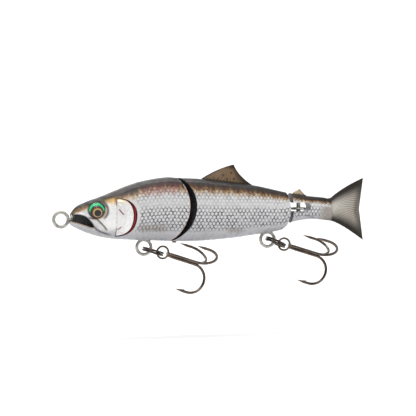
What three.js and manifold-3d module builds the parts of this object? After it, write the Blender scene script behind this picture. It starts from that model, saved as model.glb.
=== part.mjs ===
// A three-piece jointed swimbait with flaring gill covers, two trebles and a soft tail.
// Millimetres, +Z up. +X runs from the nose to the tail and -Y is the fish's left side.
// The origin is the centre of the line tie ring.
import * as THREE from "three";
import { mergeVertices } from "three/addons/utils/BufferGeometryUtils.js";
import Module from "manifold-3d";

const wasm = await Module();
wasm.setup();

// ---------- Sizes of the body ----------
const body_start = 4.2; // nose of the body, behind the centre of the line tie
const front_length = 55.8; // nose to the pin of the front joint
const middle_length = 62.2; // pin of the front joint to the rear face of the middle section
const tail_space = 1.8; // between the middle section and the tail section
const tail_length = 22.4; // front face to rear face of the tail section
const back_height = 21.5; // highest point of the back above the line tie
const belly_depth = 12.1; // lowest point of the belly below the line tie
const body_width = 19;
const section_power = 2.2; // 2 is an ellipse, more is boxier
const wall = 2;
const seam_gap = 0.3; // between the left and right half of each shell
const fit_gap = 0.3; // between pieces that seat against each other

// ---------- Front joint: eyes on the front section, pin in the nose of the middle section ----------
const front_swing = 18; // degrees to each side
const rim_reach = 6.1; // furthest point of the front section behind the pin
const rim_radius = 23.5; // side view arc of the front section's rear rim
const rim_height = 7; // height of that arc's centre
const rim_gap = 0.4;
const lip_wall = 1.3; // front section beside the nose it wraps around
const cup_gap = 0.4;
const nose_roof = 3.7; // back above the round nose
const nose_floor = 0.6; // belly below it
const nose_least_wall = 0.5; // around the pin where the nose is narrowest
const upper_eye_drop = 6; // below the top of the nose
const lower_eye_rise = 7.3; // above the bottom of the nose
const pin_cover = 2; // nose above the upper end of the pin
const pin_stub = 0.7; // how far the pin stands out below the belly

// ---------- Tail joint: eye on the middle section, pin in the slotted tail section ----------
const tail_pin_setback = 4.3; // pin behind the front face of the tail section
const tail_slot_height = 4.7;
const tail_slot_rise = 0.4; // middle of the slot above the middle of the tail section
const tail_slot_behind = 5.6; // end of the slot behind the pin
const tail_eye_drop = 0.85; // eye below the middle of the slot
const tail_pin_roof = 0.45; // between the pin and the root of the adipose fin above it
const tail_pin_floor = 2.7; // belly below the pin

// ---------- Wire fittings ----------
const joint_pin_radius = 1.1;
const joint_ring_radius = 3.3; // to the middle of the wire
const joint_wire_radius = 0.65;
const joint_shank = 9;
const tie_ring_radius = 3.85;
const tie_wire_radius = 0.8;
const tie_shank = 15;
const hanger_shank = 7;
const hanger_drop = 3.5; // belly to the centre of a hanger ring
const front_hanger_ahead = 16.3; // ahead of the front joint's pin
const rear_hanger_ahead = 11.2; // ahead of the rear face of the middle section

// ---------- Cavities and ballast ----------
const front_cavity_start = 18.8; // behind the nose of the body
const front_cavity_length = 17.5;
const middle_cavity_start = 13; // behind the front joint's pin
const middle_cavity_end = 8; // ahead of the rear hanger
const ballast_gap = 0.4; // to the inside of the shell or of the gill inserts
const front_ballast_rise = 7.8; // belly to the top of the weight
const rear_ballast_rise = 5.7;
const front_ballast_ends = [2, 3.5]; // shorter than the cavity at the front and rear
const rear_ballast_ends = [3, 5];

// ---------- Eyes ----------
const eye_setback = 13.1; // behind the nose of the body
const eye_rise = 3.92; // above the middle of the head
const eye_radius = 4.1;
const eye_disc_thickness = 0.5;
const eye_dome = 1.5;
const eye_edge = 0.5; // upright edge of the dome
const eye_seat = 1.9; // depth of the socket floor below the skin

// ---------- Mouth ----------
const mouth_core = 2.4; // half width of the tongue of material that holds the line tie
const mouth_core_start = 2.4; // behind the nose of the body

// ---------- Gill covers ----------
const gill_axis_setback = 23.8; // behind the nose of the body
const gill_axis_inset = 1.37; // below the skin
const gill_length = 8.3; // hinge axis to the rear edge
const gill_top_drop = 4.3; // below the back
const gill_bottom_rise = 2; // above the belly
const gill_middle_rise = 1.2; // rearmost point of a cover above its middle
const gill_top_swell = 1; // how far the upper edge bows above its front end
const gill_thickness = 1.3;
const gill_edge = 0.5; // front edge of a cover behind its hinge axis
const gill_relief = 0.7; // pocket in front of the hinge axis
const gill_sweep_room = 0.3; // more room below a cover, whose lower edge dips as it opens
const gill_gape = 1.8; // crescent of gill left bare behind a closed cover
const gill_pin_radius = 0.4;
const gill_barrel_radius = 1.15;
const gill_barrel_length = 4.2;
const gill_lug_length = 1.7;
const gill_lug_reach = 1.2;
const gill_flange = 1.1; // insert beyond the edge of the pocket, inside the shell
const gill_insert_depth = 1.5; // inner face of the insert below the inner face of the shell
const gill_cover_inner = 4; // lower edge of a cover nearest the middle of the fish
const gill_insert_inner = 2; // edge of an insert nearest the middle of the fish
const gill_ridge_centre = 4; // centre of their arcs ahead of the hinge axis
const gill_ridge_edge = 0.6; // outermost ridge from the rear edge of the pocket
const gill_ridges = 4;
const gill_ridge_width = 0.8;
const gill_ridge_pitch = 1.9;

// ---------- Fins ----------
// start: behind the front joint's pin, or behind the front face of the tail section
const dorsal_fin = { start: 14.5, length: 28.1, tip: 17.8, rise: 9.4, thickness: 1.2, root: 2.2 };
const adipose_fin = { start: 0.8, length: 8.2, tip: 4.4, rise: 3.1, thickness: 1, root: 1.5 };
const fin_bow = 0.2; // how full a fin's front edge is, as a share of its rise
const fin_hollow = { along: 0.25, up: 0.35 }; // knee of its rear edge, as shares
const tail_fin_thickness = 1.6;
const tail_fin_length = 18.5; // rear face of the tail section to the tips
const tail_fin_notch = 4.2; // depth of the fork
const tail_fin_upper = 15.25; // upper tip above the middle of the tail's slot
const tail_fin_lower = 18.15; // lower tip below it
const tail_fin_notch_drop = 1.2; // notch below the middle of the tips
const tail_fin_sweep = { along: 2.4, up: 8 }; // fullness of the lobes' rear edges
const tail_fin_flare = { along: 6, upper: 5.1, lower: 9.3 }; // fullness of their outer edges
const tail_web = 3.6; // tail section between the slot and the fin's root
const tail_fin_root_height = 6;
const tail_fin_root_drop = 1; // root below the middle of the slot
const tail_fin_pin_radius = 0.7;
const tail_fin_pin_setback = 3.7; // behind the front of the root
const tail_fin_pin_cover = 0.5; // skin beyond each end of the pin

// ---------- Split rings and trebles ----------
const ring_radius = 5.3; // to the middle of the wire
const ring_wire_radius = 0.55;
const ring_turn_gap = 0.1; // between the two turns
const ring_ends = { from: 30, to: 690 }; // degrees around the ring
const ring_step = { from: 325, to: 395 }; // where one turn steps over to the other
const hook_wire_radius = 0.75;
const hook_shank_offset = 0.85;
const hook_shank_length = 18.9; // eye centre to the start of the bend
const hook_bend_radius = 7.6;
const hook_point_length = 6.8; // end of the bend back to the tip
const hook_eye_radius = 3.15;
const hook_eye_wire_radius = 0.55;
const hook_taper = 3.6;
const hook_join = 0.4; // how far the tapered tip runs into the wire
const hook_hang_gap = 0.5; // eye to the split ring that it hangs on
const barb_length = 2.2;
const barb_radius = 0.5;
const barb_tilt = 26;

// ---------- Outlines: [percent along the body, percent of the height, depth or half width] ----------
const back_line = [
  [0, 3], [0.7, 15], [2.3, 29], [5.3, 39.5], [11.5, 54], [20.7, 78], [26.8, 90.5], [36, 100],
  [40, 98.5], [49.8, 95], [69.2, 79.5], [82, 61.5], [89.9, 52.5], [97.2, 47.5], [100, 43],
];
const belly_line = [
  [0, 6], [0.4, 21], [2.2, 35], [6.9, 60], [13, 79.5], [19.1, 88], [31.4, 95], [44.9, 100],
  [58.9, 91], [72.8, 71], [80.5, 56], [82, 43], [83.5, 28], [86.1, 18.5], [90, 12], [94, 11], [100, 19],
];
const side_line = [
  [0, 22], [0.7, 32], [2.3, 45], [5.3, 60], [11.5, 80], [18, 91], [26, 98], [36, 100],
  [50, 97], [65, 86], [75, 73], [82, 61], [86, 53], [92, 42], [97, 32], [100, 27],
];

// ---------- Places along the fish ----------
const body_length = front_length + middle_length + tail_space + tail_length;
const front_joint_x = body_start + front_length;
const middle_rear_x = front_joint_x + middle_length;
const tail_front_x = middle_rear_x + tail_space;
const tail_rear_x = tail_front_x + tail_length;
const tail_joint_x = tail_front_x + tail_pin_setback;
const tail_slot_end = tail_joint_x + tail_slot_behind;
const tail_fin_root_x = tail_slot_end + tail_web;
const tail_fin_pin_x = tail_fin_root_x + tail_fin_pin_setback;
const tail_fin_tip_x = tail_rear_x + tail_fin_length;
const front_hanger_x = front_joint_x - front_hanger_ahead;
const rear_hanger_x = middle_rear_x - rear_hanger_ahead;
const front_cavity_x = body_start + front_cavity_start;
const front_cavity = { from: front_cavity_x, to: front_cavity_x + front_cavity_length };
const middle_cavity = { from: front_joint_x + middle_cavity_start, to: rear_hanger_x - middle_cavity_end };
const eye_x = body_start + eye_setback;
const mouth_core_x = body_start + mouth_core_start;
const gill_axis_x = body_start + gill_axis_setback;
const gill_rear_x = gill_axis_x + gill_length;

const body_sides = 20;
const wire_sides = 6;
const degrees = THREE.MathUtils.degToRad;

// Height of a smooth line through the given points.
function lineAt(line, share) {
  const last = line.length - 1;
  let i = 0;
  while (i < last - 1 && share > line[i + 1][0]) i += 1;
  const slope = (k) => {
    const before = line[Math.max(k - 1, 0)];
    const after = line[Math.min(k + 1, last)];
    return (after[1] - before[1]) / (after[0] - before[0]);
  };
  const span = line[i + 1][0] - line[i][0];
  const t = THREE.MathUtils.clamp((share - line[i][0]) / span, 0, 1);
  const rise = line[i + 1][1] - line[i][1];
  const bend_in = slope(i) * span - rise;
  const bend_out = rise - slope(i + 1) * span;
  return line[i][1] + t * rise + t * (1 - t) * ((1 - t) * bend_in + t * bend_out);
}

const shareAt = (x) => (100 * (x - body_start)) / body_length;
const backAt = (x) => (back_height * lineAt(back_line, shareAt(x))) / 100;
const bellyAt = (x) => (-belly_depth * lineAt(belly_line, shareAt(x))) / 100;
const sideAt = (x) => (body_width * lineAt(side_line, shareAt(x))) / 200;

// Half width of the body at a place along it and a height.
function halfWidthAt(x, z) {
  const middle = (backAt(x) + bellyAt(x)) / 2;
  const half = (backAt(x) - bellyAt(x)) / 2;
  const rise = Math.min(Math.abs(z - middle) / half, 1);
  return sideAt(x) * (1 - rise ** section_power) ** (1 / section_power);
}

// ---------- Heights that follow the back and the belly ----------
const middleAt = (x) => (backAt(x) + bellyAt(x)) / 2;
const nose_top = backAt(front_joint_x) - nose_roof;
const nose_bottom = bellyAt(front_joint_x) + nose_floor;
const front_eye_heights = { upper: nose_top - upper_eye_drop, lower: nose_bottom + lower_eye_rise };
const tail_slot_middle = middleAt(tail_joint_x) + tail_slot_rise;
const tail_eye_height = tail_slot_middle - tail_eye_drop;
const eye_height = middleAt(eye_x) + eye_rise;
const gill_top = backAt(gill_axis_x) - gill_top_drop;
const gill_bottom = bellyAt(gill_axis_x) + gill_bottom_rise;
const gill_hinge_height = (gill_top + gill_bottom) / 2;
const gill_middle = gill_hinge_height + gill_middle_rise;
const gill_axis_y = halfWidthAt(gill_axis_x, gill_hinge_height) - gill_axis_inset;

// Where each treble hangs, and the angles in degrees at which its ring and hooks rest.
const hook_sets = {
  front: { x: front_hanger_x, seat: [-0.3, -0.7], hang: 74.5, ring_pitch: 17, pitch: 18, yaw: 4 },
  rear: { x: rear_hanger_x, seat: [-0.3, 0.6], hang: 96, ring_pitch: 24, pitch: 17.4, yaw: -4 },
};

// ---------- Solids ----------
// A closed three.js geometry as a solid that can be joined and cut.
function solid(geometry) {
  geometry.deleteAttribute("normal");
  geometry.deleteAttribute("uv");
  const merged = mergeVertices(geometry, 1e-4);
  return new wasm.Manifold(
    new wasm.Mesh({
      numProp: 3,
      vertProperties: merged.attributes.position.array,
      triVerts: new Uint32Array(merged.index.array),
    }),
  );
}

function geometryOf(body) {
  const { numProp, numVert, vertProperties, triVerts } = body.getMesh();
  const place = new Float32Array(numVert * 3);
  for (let i = 0; i < numVert; i += 1) {
    place.set(vertProperties.subarray(i * numProp, i * numProp + 3), i * 3);
  }
  const geometry = new THREE.BufferGeometry();
  geometry.setAttribute("position", new THREE.BufferAttribute(place, 3));
  geometry.setIndex(new THREE.BufferAttribute(triVerts, 1));
  geometry.computeVertexNormals();
  return geometry;
}

const joined = (bodies) => bodies.reduce((whole, body) => whole.add(body));

function box(from, to) {
  const size = to.map((value, i) => value - from[i]);
  const geometry = new THREE.BoxGeometry(...size);
  geometry.translate(...from.map((value, i) => value + size[i] / 2));
  return solid(geometry);
}

// A round bar of a radius between two points.
function bar(from, to, radius, sides = 12) {
  const start = new THREE.Vector3(...from);
  const way = new THREE.Vector3(...to).sub(start);
  const geometry = new THREE.CylinderGeometry(radius, radius, way.length(), sides);
  const turn = new THREE.Quaternion().setFromUnitVectors(
    new THREE.Vector3(0, 1, 0),
    way.clone().normalize(),
  );
  geometry.applyQuaternion(turn);
  geometry.translate(...start.addScaledVector(way, 0.5).toArray());
  return solid(geometry);
}

// An outline in the XZ plane, spread over a span of Y.
function slab(shape, y_from, y_to) {
  const geometry = new THREE.ExtrudeGeometry(shape, {
    depth: y_to - y_from,
    bevelEnabled: false,
    curveSegments: 10,
  });
  geometry.rotateX(Math.PI / 2);
  geometry.translate(0, y_to, 0);
  return solid(geometry);
}

// The body between two places along it, drawn in from its skin by an inset.
function bodyLoft(from, to, inset, rings) {
  const geometry = new THREE.CylinderGeometry(1, 1, 1, body_sides, rings);
  const place = geometry.attributes.position;
  const rounded = (value) => Math.sign(value) * Math.abs(value) ** (2 / section_power);
  for (let i = 0; i < place.count; i += 1) {
    const x = THREE.MathUtils.lerp(from, to, place.getY(i) + 0.5);
    const top = backAt(x) - inset;
    const bottom = bellyAt(x) + inset;
    const y = rounded(place.getZ(i)) * (sideAt(x) - inset);
    const z = (top + bottom) / 2 + (rounded(place.getX(i)) * (top - bottom)) / 2;
    place.setXYZ(i, x, y, z);
  }
  return solid(geometry);
}

// One half of a section, split down the middle of the fish.
const far = 60;
function half(body, side) {
  const inner = (side * seam_gap) / 2;
  const outer = side * far;
  const from = [-far, Math.min(inner, outer), -far];
  const to = [4 * far, Math.max(inner, outer), far];
  return body.intersect(box(from, to));
}

// Round wire along a curve through points.
function wire(points, radius, steps) {
  const section = new THREE.Shape();
  section.absarc(0, 0, radius, 0, 2 * Math.PI);
  const curve = new THREE.CatmullRomCurve3(points, false, "centripetal");
  return new THREE.ExtrudeGeometry(section, {
    extrudePath: curve,
    steps,
    bevelEnabled: false,
    curveSegments: wire_sides / 2,
  });
}

// A ring in the XY plane with a shank that leaves it along +X.
function screwEye(radius, wire_radius, shank) {
  const ring = solid(new THREE.TorusGeometry(radius, wire_radius, 8, 20));
  return ring.add(bar([radius, 0, 0], [radius + shank, 0, 0], wire_radius, 8));
}

// ---------- Materials ----------
const finish = (color, roughness, metalness = 0) => ({ color, roughness, metalness });
const painted_shell = finish(0xc9c8c0, 0.3);
const pale_gill = finish(0xdedcd6, 0.3);
const red_gill = finish(0x8c1a1c, 0.4);
const steel = finish(0xd6d4ce, 0.22, 1);
const black_nickel = finish(0x4a443f, 0.25, 1);
const lead = finish(0x6f7276, 0.6, 1);
const iris = finish(0xc98a2b, 0.3, 0.4);
const clear = finish(0xf4f6f4, 0.05);
const fin_film = finish(0xb39a78, 0.4);
const soft_tail = finish(0x8f8678, 0.55);

function piece(name, body, look) {
  const mesh = new THREE.Mesh(geometryOf(body), new THREE.MeshStandardMaterial(look));
  mesh.name = name;
  return mesh;
}

function group(...children) {
  const set = new THREE.Group();
  set.add(...children);
  return set;
}

const sides = { left: -1, right: 1 };

// ---------- Front joint shapes ----------
const rim_centre_x = front_joint_x + rim_reach - rim_radius;

// Everything in front of the front section's rear rim, grown by a gap.
function rimZone(gap, turn = 0) {
  const arc = new THREE.CylinderGeometry(rim_radius + gap, rim_radius + gap, 2 * far, 44);
  arc.translate(rim_centre_x, 0, rim_height);
  const front = new THREE.BoxGeometry(2 * far, 2 * far, 2 * far);
  front.translate(rim_centre_x - far, 0, 0);
  for (const geometry of [arc, front]) {
    geometry.translate(-front_joint_x, 0, 0);
    geometry.rotateZ(degrees(turn));
    geometry.translate(front_joint_x, 0, 0);
  }
  return solid(arc).add(solid(front));
}

// The round nose of the middle section, or the cup around it with a gap.
function noseLathe(gap) {
  const levels = 8;
  const low = nose_bottom - (gap ? far : 0);
  const profile = [new THREE.Vector2(0, low)];
  for (let i = 0; i <= levels; i += 1) {
    const z = THREE.MathUtils.lerp(nose_bottom, nose_top, i / levels);
    const inside_lip = halfWidthAt(front_joint_x, z) - lip_wall - cup_gap;
    const radius = Math.max(inside_lip, joint_pin_radius + nose_least_wall);
    if (i === 0 && gap) profile.push(new THREE.Vector2(radius + gap, low));
    profile.push(new THREE.Vector2(radius + gap, i === levels ? z + gap : z));
  }
  profile.push(new THREE.Vector2(0, nose_top + gap));
  const geometry = new THREE.LatheGeometry(profile, 24);
  geometry.rotateX(Math.PI / 2);
  geometry.translate(front_joint_x, 0, 0);
  return solid(geometry);
}

const eye_slot_half = joint_wire_radius + 2 * fit_gap;
const ring_clear = joint_ring_radius + joint_wire_radius + 2 * fit_gap;

// ---------- Gill shapes ----------
// A D-shaped outline with a straight front edge.
function gillOutline(front, rear, top, bottom) {
  const reach = rear - front;
  const shape = new THREE.Shape();
  shape.moveTo(front, top);
  const upper = gill_middle + 0.6 * (top - gill_middle);
  shape.bezierCurveTo(front + 0.65 * reach, top + gill_top_swell, rear, upper, rear, gill_middle);
  const lower = gill_middle - 0.55 * (gill_middle - bottom);
  shape.bezierCurveTo(rear, lower, front + 0.75 * reach, bottom, front, bottom);
  shape.closePath();
  return shape;
}

const gill_front_x = gill_axis_x + gill_edge;
const pocket_rear_x = gill_rear_x + gill_gape;
const pocket_front_x = gill_axis_x - gill_relief;
const pocket_bottom = gill_bottom - fit_gap - gill_sweep_room;
const pocketOutline = (grow) =>
  gillOutline(pocket_front_x, pocket_rear_x + grow, gill_top + fit_gap + grow, pocket_bottom - grow);

// The head around the gills, drawn in from its skin by an inset.
const gillLoft = (inset) => bodyLoft(front_cavity.from, front_cavity.to, inset, 8);
const skinLayer = (outer_inset, inner_inset) => gillLoft(outer_inset).subtract(gillLoft(inner_inset));

// A bar on the hinge axis of a gill cover, between two heights above its middle.
function gillBar(side, from, to, radius, sides_round = 10) {
  const y = side * gill_axis_y;
  const z = gill_hinge_height;
  return bar([gill_axis_x, y, z + from], [gill_axis_x, y, z + to], radius, sides_round);
}

const barrel_half = gill_barrel_length / 2;
const lug_start = barrel_half + fit_gap;
const lug_end = lug_start + gill_lug_length;

// Hinge lugs of a head shell, or the room around them with a gap.
function gillLugs(side, gap) {
  const z = gill_hinge_height;
  const reach = gill_lug_reach + gap;
  const y_inner = side * (gill_axis_y - gill_lug_reach - gap);
  const y_outer = side * far;
  return joined(
    [-1, 1].map((end) => {
      const z_near = z + end * (lug_start - gap);
      const z_far = z + end * (lug_end + gap);
      return box(
        [gill_axis_x - reach, Math.min(y_inner, y_outer), Math.min(z_near, z_far)],
        [gill_axis_x + reach, Math.max(y_inner, y_outer), Math.max(z_near, z_far)],
      );
    }),
  );
}

function sideSlab(shape, side, inner = 0) {
  return side < 0 ? slab(shape, -far, -inner) : slab(shape, inner, far);
}

function gillPocket(side) {
  const opening = sideSlab(pocketOutline(0), side);
  const room = gillBar(side, -barrel_half - fit_gap, barrel_half + fit_gap, gill_barrel_radius + fit_gap);
  return opening.subtract(gillLugs(side, 0)).add(room);
}

function gillCover(side) {
  const shape = gillOutline(gill_front_x, gill_rear_x, gill_top, gill_bottom);
  const outline = sideSlab(shape, side, gill_cover_inner);
  const plate = outline.intersect(skinLayer(0, gill_thickness)).subtract(gillLugs(side, 2 * fit_gap));
  const barrel = gillBar(side, -barrel_half, barrel_half, gill_barrel_radius);
  const bore = gillBar(side, -far, far, gill_pin_radius + fit_gap);
  return plate.add(barrel.intersect(gillLoft(0))).subtract(bore);
}

// Curved strips of gill standing on the insert.
function gillRidges() {
  const centre_x = gill_axis_x - gill_ridge_centre;
  const disc = (radius) => bar([centre_x, -far, gill_middle], [centre_x, far, gill_middle], radius, 28);
  return joined(
    Array.from({ length: gill_ridges }, (_, k) => {
      const radius = pocket_rear_x - centre_x - gill_ridge_edge - k * gill_ridge_pitch;
      return disc(radius).subtract(disc(radius - gill_ridge_width));
    }),
  );
}

function gillInsert(side) {
  const behind_hinge = box([gill_axis_x + gill_barrel_radius + 2 * fit_gap, -far, -far], [far, far, far]);
  const pad = sideSlab(pocketOutline(-fit_gap), side, gill_insert_inner).intersect(behind_hinge);
  const plate = sideSlab(pocketOutline(gill_flange), side, gill_insert_inner).intersect(behind_hinge);
  const top = gill_thickness + 2 * fit_gap;
  const base = skinLayer(wall + fit_gap, wall + gill_insert_depth);
  const ridges = skinLayer(top, wall + gill_insert_depth - 0.5).intersect(pad).intersect(gillRidges());
  return plate.intersect(base).add(ridges);
}

// ---------- Eyes ----------
// Where the skin is at the eye, and the way it faces there.
function skinFrame(x, z, side) {
  const step = 0.5;
  const point = (px, pz) => new THREE.Vector3(px, side * halfWidthAt(px, pz), pz);
  const along = point(x + step, z).sub(point(x - step, z));
  const up = point(x, z + step).sub(point(x, z - step));
  const out = along.cross(up).multiplyScalar(-side).normalize();
  return { place: point(x, z), out };
}

// A disc or dome seated at a depth below the skin at the eye, facing out.
function atEye(geometry, side, depth) {
  const { place, out } = skinFrame(eye_x, eye_height, side);
  geometry.applyQuaternion(new THREE.Quaternion().setFromUnitVectors(new THREE.Vector3(0, 1, 0), out));
  geometry.translate(...place.addScaledVector(out, -depth).toArray());
  return solid(geometry);
}

function eyeSocket(side) {
  const depth = 2 * eye_radius;
  const geometry = new THREE.CylinderGeometry(eye_radius + fit_gap, eye_radius + fit_gap, depth, 24);
  geometry.translate(0, depth / 2, 0);
  return atEye(geometry, side, eye_seat);
}

function eyeDisc(side) {
  const geometry = new THREE.CylinderGeometry(eye_radius, eye_radius, eye_disc_thickness, 24);
  geometry.translate(0, eye_disc_thickness / 2, 0);
  return atEye(geometry, side, eye_seat - fit_gap);
}

function eyeLens(side) {
  const profile = [new THREE.Vector2(0, 0), new THREE.Vector2(eye_radius, 0)];
  for (let i = 0; i <= 4; i += 1) {
    const turn = (Math.PI / 2) * (i / 4);
    profile.push(new THREE.Vector2(eye_radius * Math.cos(turn), eye_edge + eye_dome * Math.sin(turn)));
  }
  profile[profile.length - 1].x = 0;
  const geometry = new THREE.LatheGeometry(profile, 24);
  return atEye(geometry, side, eye_seat - eye_disc_thickness - 2 * fit_gap);
}

// ---------- Mouth ----------
function mouthCut() {
  const shape = new THREE.Shape();
  shape.moveTo(0, 2);
  shape.lineTo(5, 2.4);
  shape.quadraticCurveTo(10, 3.2, 12.8, 0.7);
  shape.quadraticCurveTo(15.4, -1.8, 16.2, -3.6);
  shape.quadraticCurveTo(15.6, -4.6, 12.5, -3.1);
  shape.quadraticCurveTo(8.5, -1.7, 4, -0.6);
  shape.lineTo(0, -0.4);
  shape.closePath();
  const core = box([mouth_core_x, -mouth_core, -far], [far, mouth_core, far]);
  return slab(shape, -far, far).subtract(core);
}

// ---------- Front section ----------
function frontBody() {
  const skin = bodyLoft(body_start, front_joint_x + rim_reach + 2 * wall, 0, 22);
  const cavity = gillLoft(wall);
  const cup = noseLathe(cup_gap);
  const bores = [
    bar([0, 0, 0], [tie_ring_radius + tie_shank + fit_gap, 0, 0], tie_wire_radius + fit_gap),
    bar([front_hanger_x, 0, -far], hangerTop(front_hanger_x), tie_wire_radius + fit_gap),
    ringRoom(front_hanger_x),
  ];
  for (const height of Object.values(front_eye_heights)) {
    const end = front_joint_x - joint_ring_radius - joint_shank - fit_gap;
    bores.push(bar([end, 0, height], [front_joint_x, 0, height], joint_wire_radius + fit_gap));
  }
  return skin.intersect(rimZone(0)).subtract(joined([mouthCut(), cavity, cup, ...bores]));
}

const hangerCentre = (x) => new THREE.Vector3(x, 0, bellyAt(x) - hanger_drop);

function hangerTop(x) {
  return [x, 0, hangerCentre(x).z + tie_ring_radius + hanger_shank + fit_gap];
}

// Room in the belly for the top of a hanger ring.
function ringRoom(x) {
  const { z } = hangerCentre(x);
  const radius = tie_ring_radius + tie_wire_radius + fit_gap;
  const half_room = tie_wire_radius + fit_gap;
  return bar([x, -half_room, z], [x, half_room, z], radius, 28);
}

function hanger(name, x) {
  const geometry = geometryOf(screwEye(tie_ring_radius, tie_wire_radius, hanger_shank));
  geometry.rotateX(Math.PI / 2);
  geometry.rotateY(-Math.PI / 2);
  const mesh = piece(name, solid(geometry), steel);
  mesh.position.copy(hangerCentre(x));
  return mesh;
}

// A weight that fills the lower part of a cavity up to a height above the belly.
function ballast(cavity, ends, rise, inset) {
  const from = cavity.from + ends[0];
  const to = cavity.to - ends[1];
  const fill = bodyLoft(from, to, inset, 8);
  return fill.intersect(box([0, -far, -far], [4 * far, far, bellyAt((from + to) / 2) + rise]));
}

const front_body = frontBody();
const front_section = new THREE.Group();
for (const [label, side] of Object.entries(sides)) {
  const shell = half(front_body, side).subtract(joined([gillPocket(side), eyeSocket(side)]));
  const lug_bore = gillBar(side, -lug_end, lug_end, gill_pin_radius + fit_gap);
  const gill_pin = gillBar(side, fit_gap - lug_end, lug_end - fit_gap, gill_pin_radius);
  front_section.add(
    piece(`head_shell_${label}`, shell.subtract(lug_bore), painted_shell),
    piece(`eye_disc_${label}`, eyeDisc(side), iris),
    piece(`eye_lens_${label}`, eyeLens(side), clear),
    piece(`gill_insert_${label}`, gillInsert(side), red_gill),
    piece(`gill_pin_${label}`, gill_pin, steel),
    piece(`gill_cover_${label}`, gillCover(side), pale_gill),
  );
}

const front_weight_inset = wall + gill_insert_depth + ballast_gap;
const front_weight = ballast(front_cavity, front_ballast_ends, front_ballast_rise, front_weight_inset);
const line_tie = geometryOf(screwEye(tie_ring_radius, tie_wire_radius, tie_shank));
line_tie.rotateX(Math.PI / 2);
front_section.add(
  piece("line_tie", solid(line_tie), steel),
  piece("front_ballast", front_weight, lead),
  hanger("front_hanger", front_hanger_x),
);
for (const [label, height] of Object.entries(front_eye_heights)) {
  const body = screwEye(joint_ring_radius, joint_wire_radius, joint_shank);
  const eye = piece(`front_joint_eye_${label}`, body, steel);
  eye.position.set(front_joint_x, 0, height);
  eye.rotation.z = Math.PI;
  front_section.add(eye);
}

// ---------- Fins ----------
// A fin swept back to a tip, on a root that is buried in the back.
function backFin({ start, length, tip, rise, thickness, root }, base_x) {
  const front = base_x + start;
  const rear = front + length;
  const tip_x = front + tip;
  const tip_z = backAt(tip_x) + rise;
  const knee_x = tip_x + fin_hollow.along * (rear - tip_x);
  const shape = new THREE.Shape();
  shape.moveTo(front, backAt(front) - root);
  shape.lineTo(front, backAt(front));
  shape.quadraticCurveTo((front + tip_x) / 2, tip_z - fin_bow * rise, tip_x, tip_z);
  shape.quadraticCurveTo(knee_x, backAt(tip_x) + fin_hollow.up * rise, rear, backAt(rear));
  shape.lineTo(rear, backAt(rear) - root);
  shape.closePath();
  return slab(shape, -thickness / 2, thickness / 2);
}

// The groove in the back that takes a fin's root.
function finGroove({ start, length, thickness, root }, base_x) {
  const front = base_x + start;
  const rear = front + length;
  const shape = new THREE.Shape();
  shape.moveTo(front - fit_gap, backAt(front) - root - fit_gap);
  shape.lineTo(front - fit_gap, far);
  shape.lineTo(rear + fit_gap, far);
  shape.lineTo(rear + fit_gap, backAt(rear) - root - fit_gap);
  shape.closePath();
  const half_groove = thickness / 2 + fit_gap;
  return slab(shape, -half_groove, half_groove);
}

// ---------- Middle section ----------
function middleBody() {
  let skin = bodyLoft(front_joint_x - rim_reach, middle_rear_x, 0, 18);
  for (const turn of [-front_swing, 0, front_swing]) {
    skin = skin.subtract(rimZone(rim_gap, turn));
  }
  const cavity = bodyLoft(middle_cavity.from, middle_cavity.to, wall, 8);
  const pin_bore = bar(
    [front_joint_x, 0, -far],
    [front_joint_x, 0, nose_top - pin_cover],
    joint_pin_radius + fit_gap,
  );
  const slots = Object.values(front_eye_heights).map((height) =>
    box(
      [front_joint_x - far, -far, height - eye_slot_half],
      [front_joint_x + ring_clear, far, height + eye_slot_half],
    ),
  );
  const x = rear_hanger_x;
  const shank_end = tail_joint_x - joint_ring_radius - joint_shank - fit_gap;
  const rear_bores = [
    bar([shank_end, 0, tail_eye_height], [tail_joint_x, 0, tail_eye_height], joint_wire_radius + fit_gap),
    bar([x, 0, -far], hangerTop(x), tie_wire_radius + fit_gap),
    ringRoom(x),
    finGroove(dorsal_fin, front_joint_x),
  ];
  return skin.add(noseLathe(0)).subtract(joined([cavity, pin_bore, ...slots, ...rear_bores]));
}

const middle_body = middleBody();
const rear_weight = ballast(middle_cavity, rear_ballast_ends, rear_ballast_rise, wall + ballast_gap);
const middle_section = group(
  piece("middle_shell_left", half(middle_body, sides.left), painted_shell),
  piece("middle_shell_right", half(middle_body, sides.right), painted_shell),
  piece("dorsal_fin", backFin(dorsal_fin, front_joint_x), fin_film),
  piece("rear_ballast", rear_weight, lead),
  hanger("rear_hanger", rear_hanger_x),
);

const front_pin = bar(
  [front_joint_x, 0, bellyAt(front_joint_x) - pin_stub],
  [front_joint_x, 0, nose_top - pin_cover - fit_gap],
  joint_pin_radius,
);
middle_section.add(piece("front_joint_pin", front_pin, black_nickel));

const tail_eye = piece("tail_joint_eye", screwEye(joint_ring_radius, joint_wire_radius, joint_shank), steel);
tail_eye.position.set(tail_joint_x, 0, tail_eye_height);
tail_eye.rotation.z = Math.PI;
middle_section.add(tail_eye);

// ---------- Tail section ----------
const tail_slot_low = tail_slot_middle - tail_slot_height / 2;
const tail_slot_high = tail_slot_middle + tail_slot_height / 2;
const tail_pin_low = bellyAt(tail_joint_x) + tail_pin_floor;
const tail_pin_high = backAt(tail_joint_x) - adipose_fin.root - tail_pin_roof;

const tail_fin_pin_z = tail_slot_middle - tail_fin_root_drop;

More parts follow.
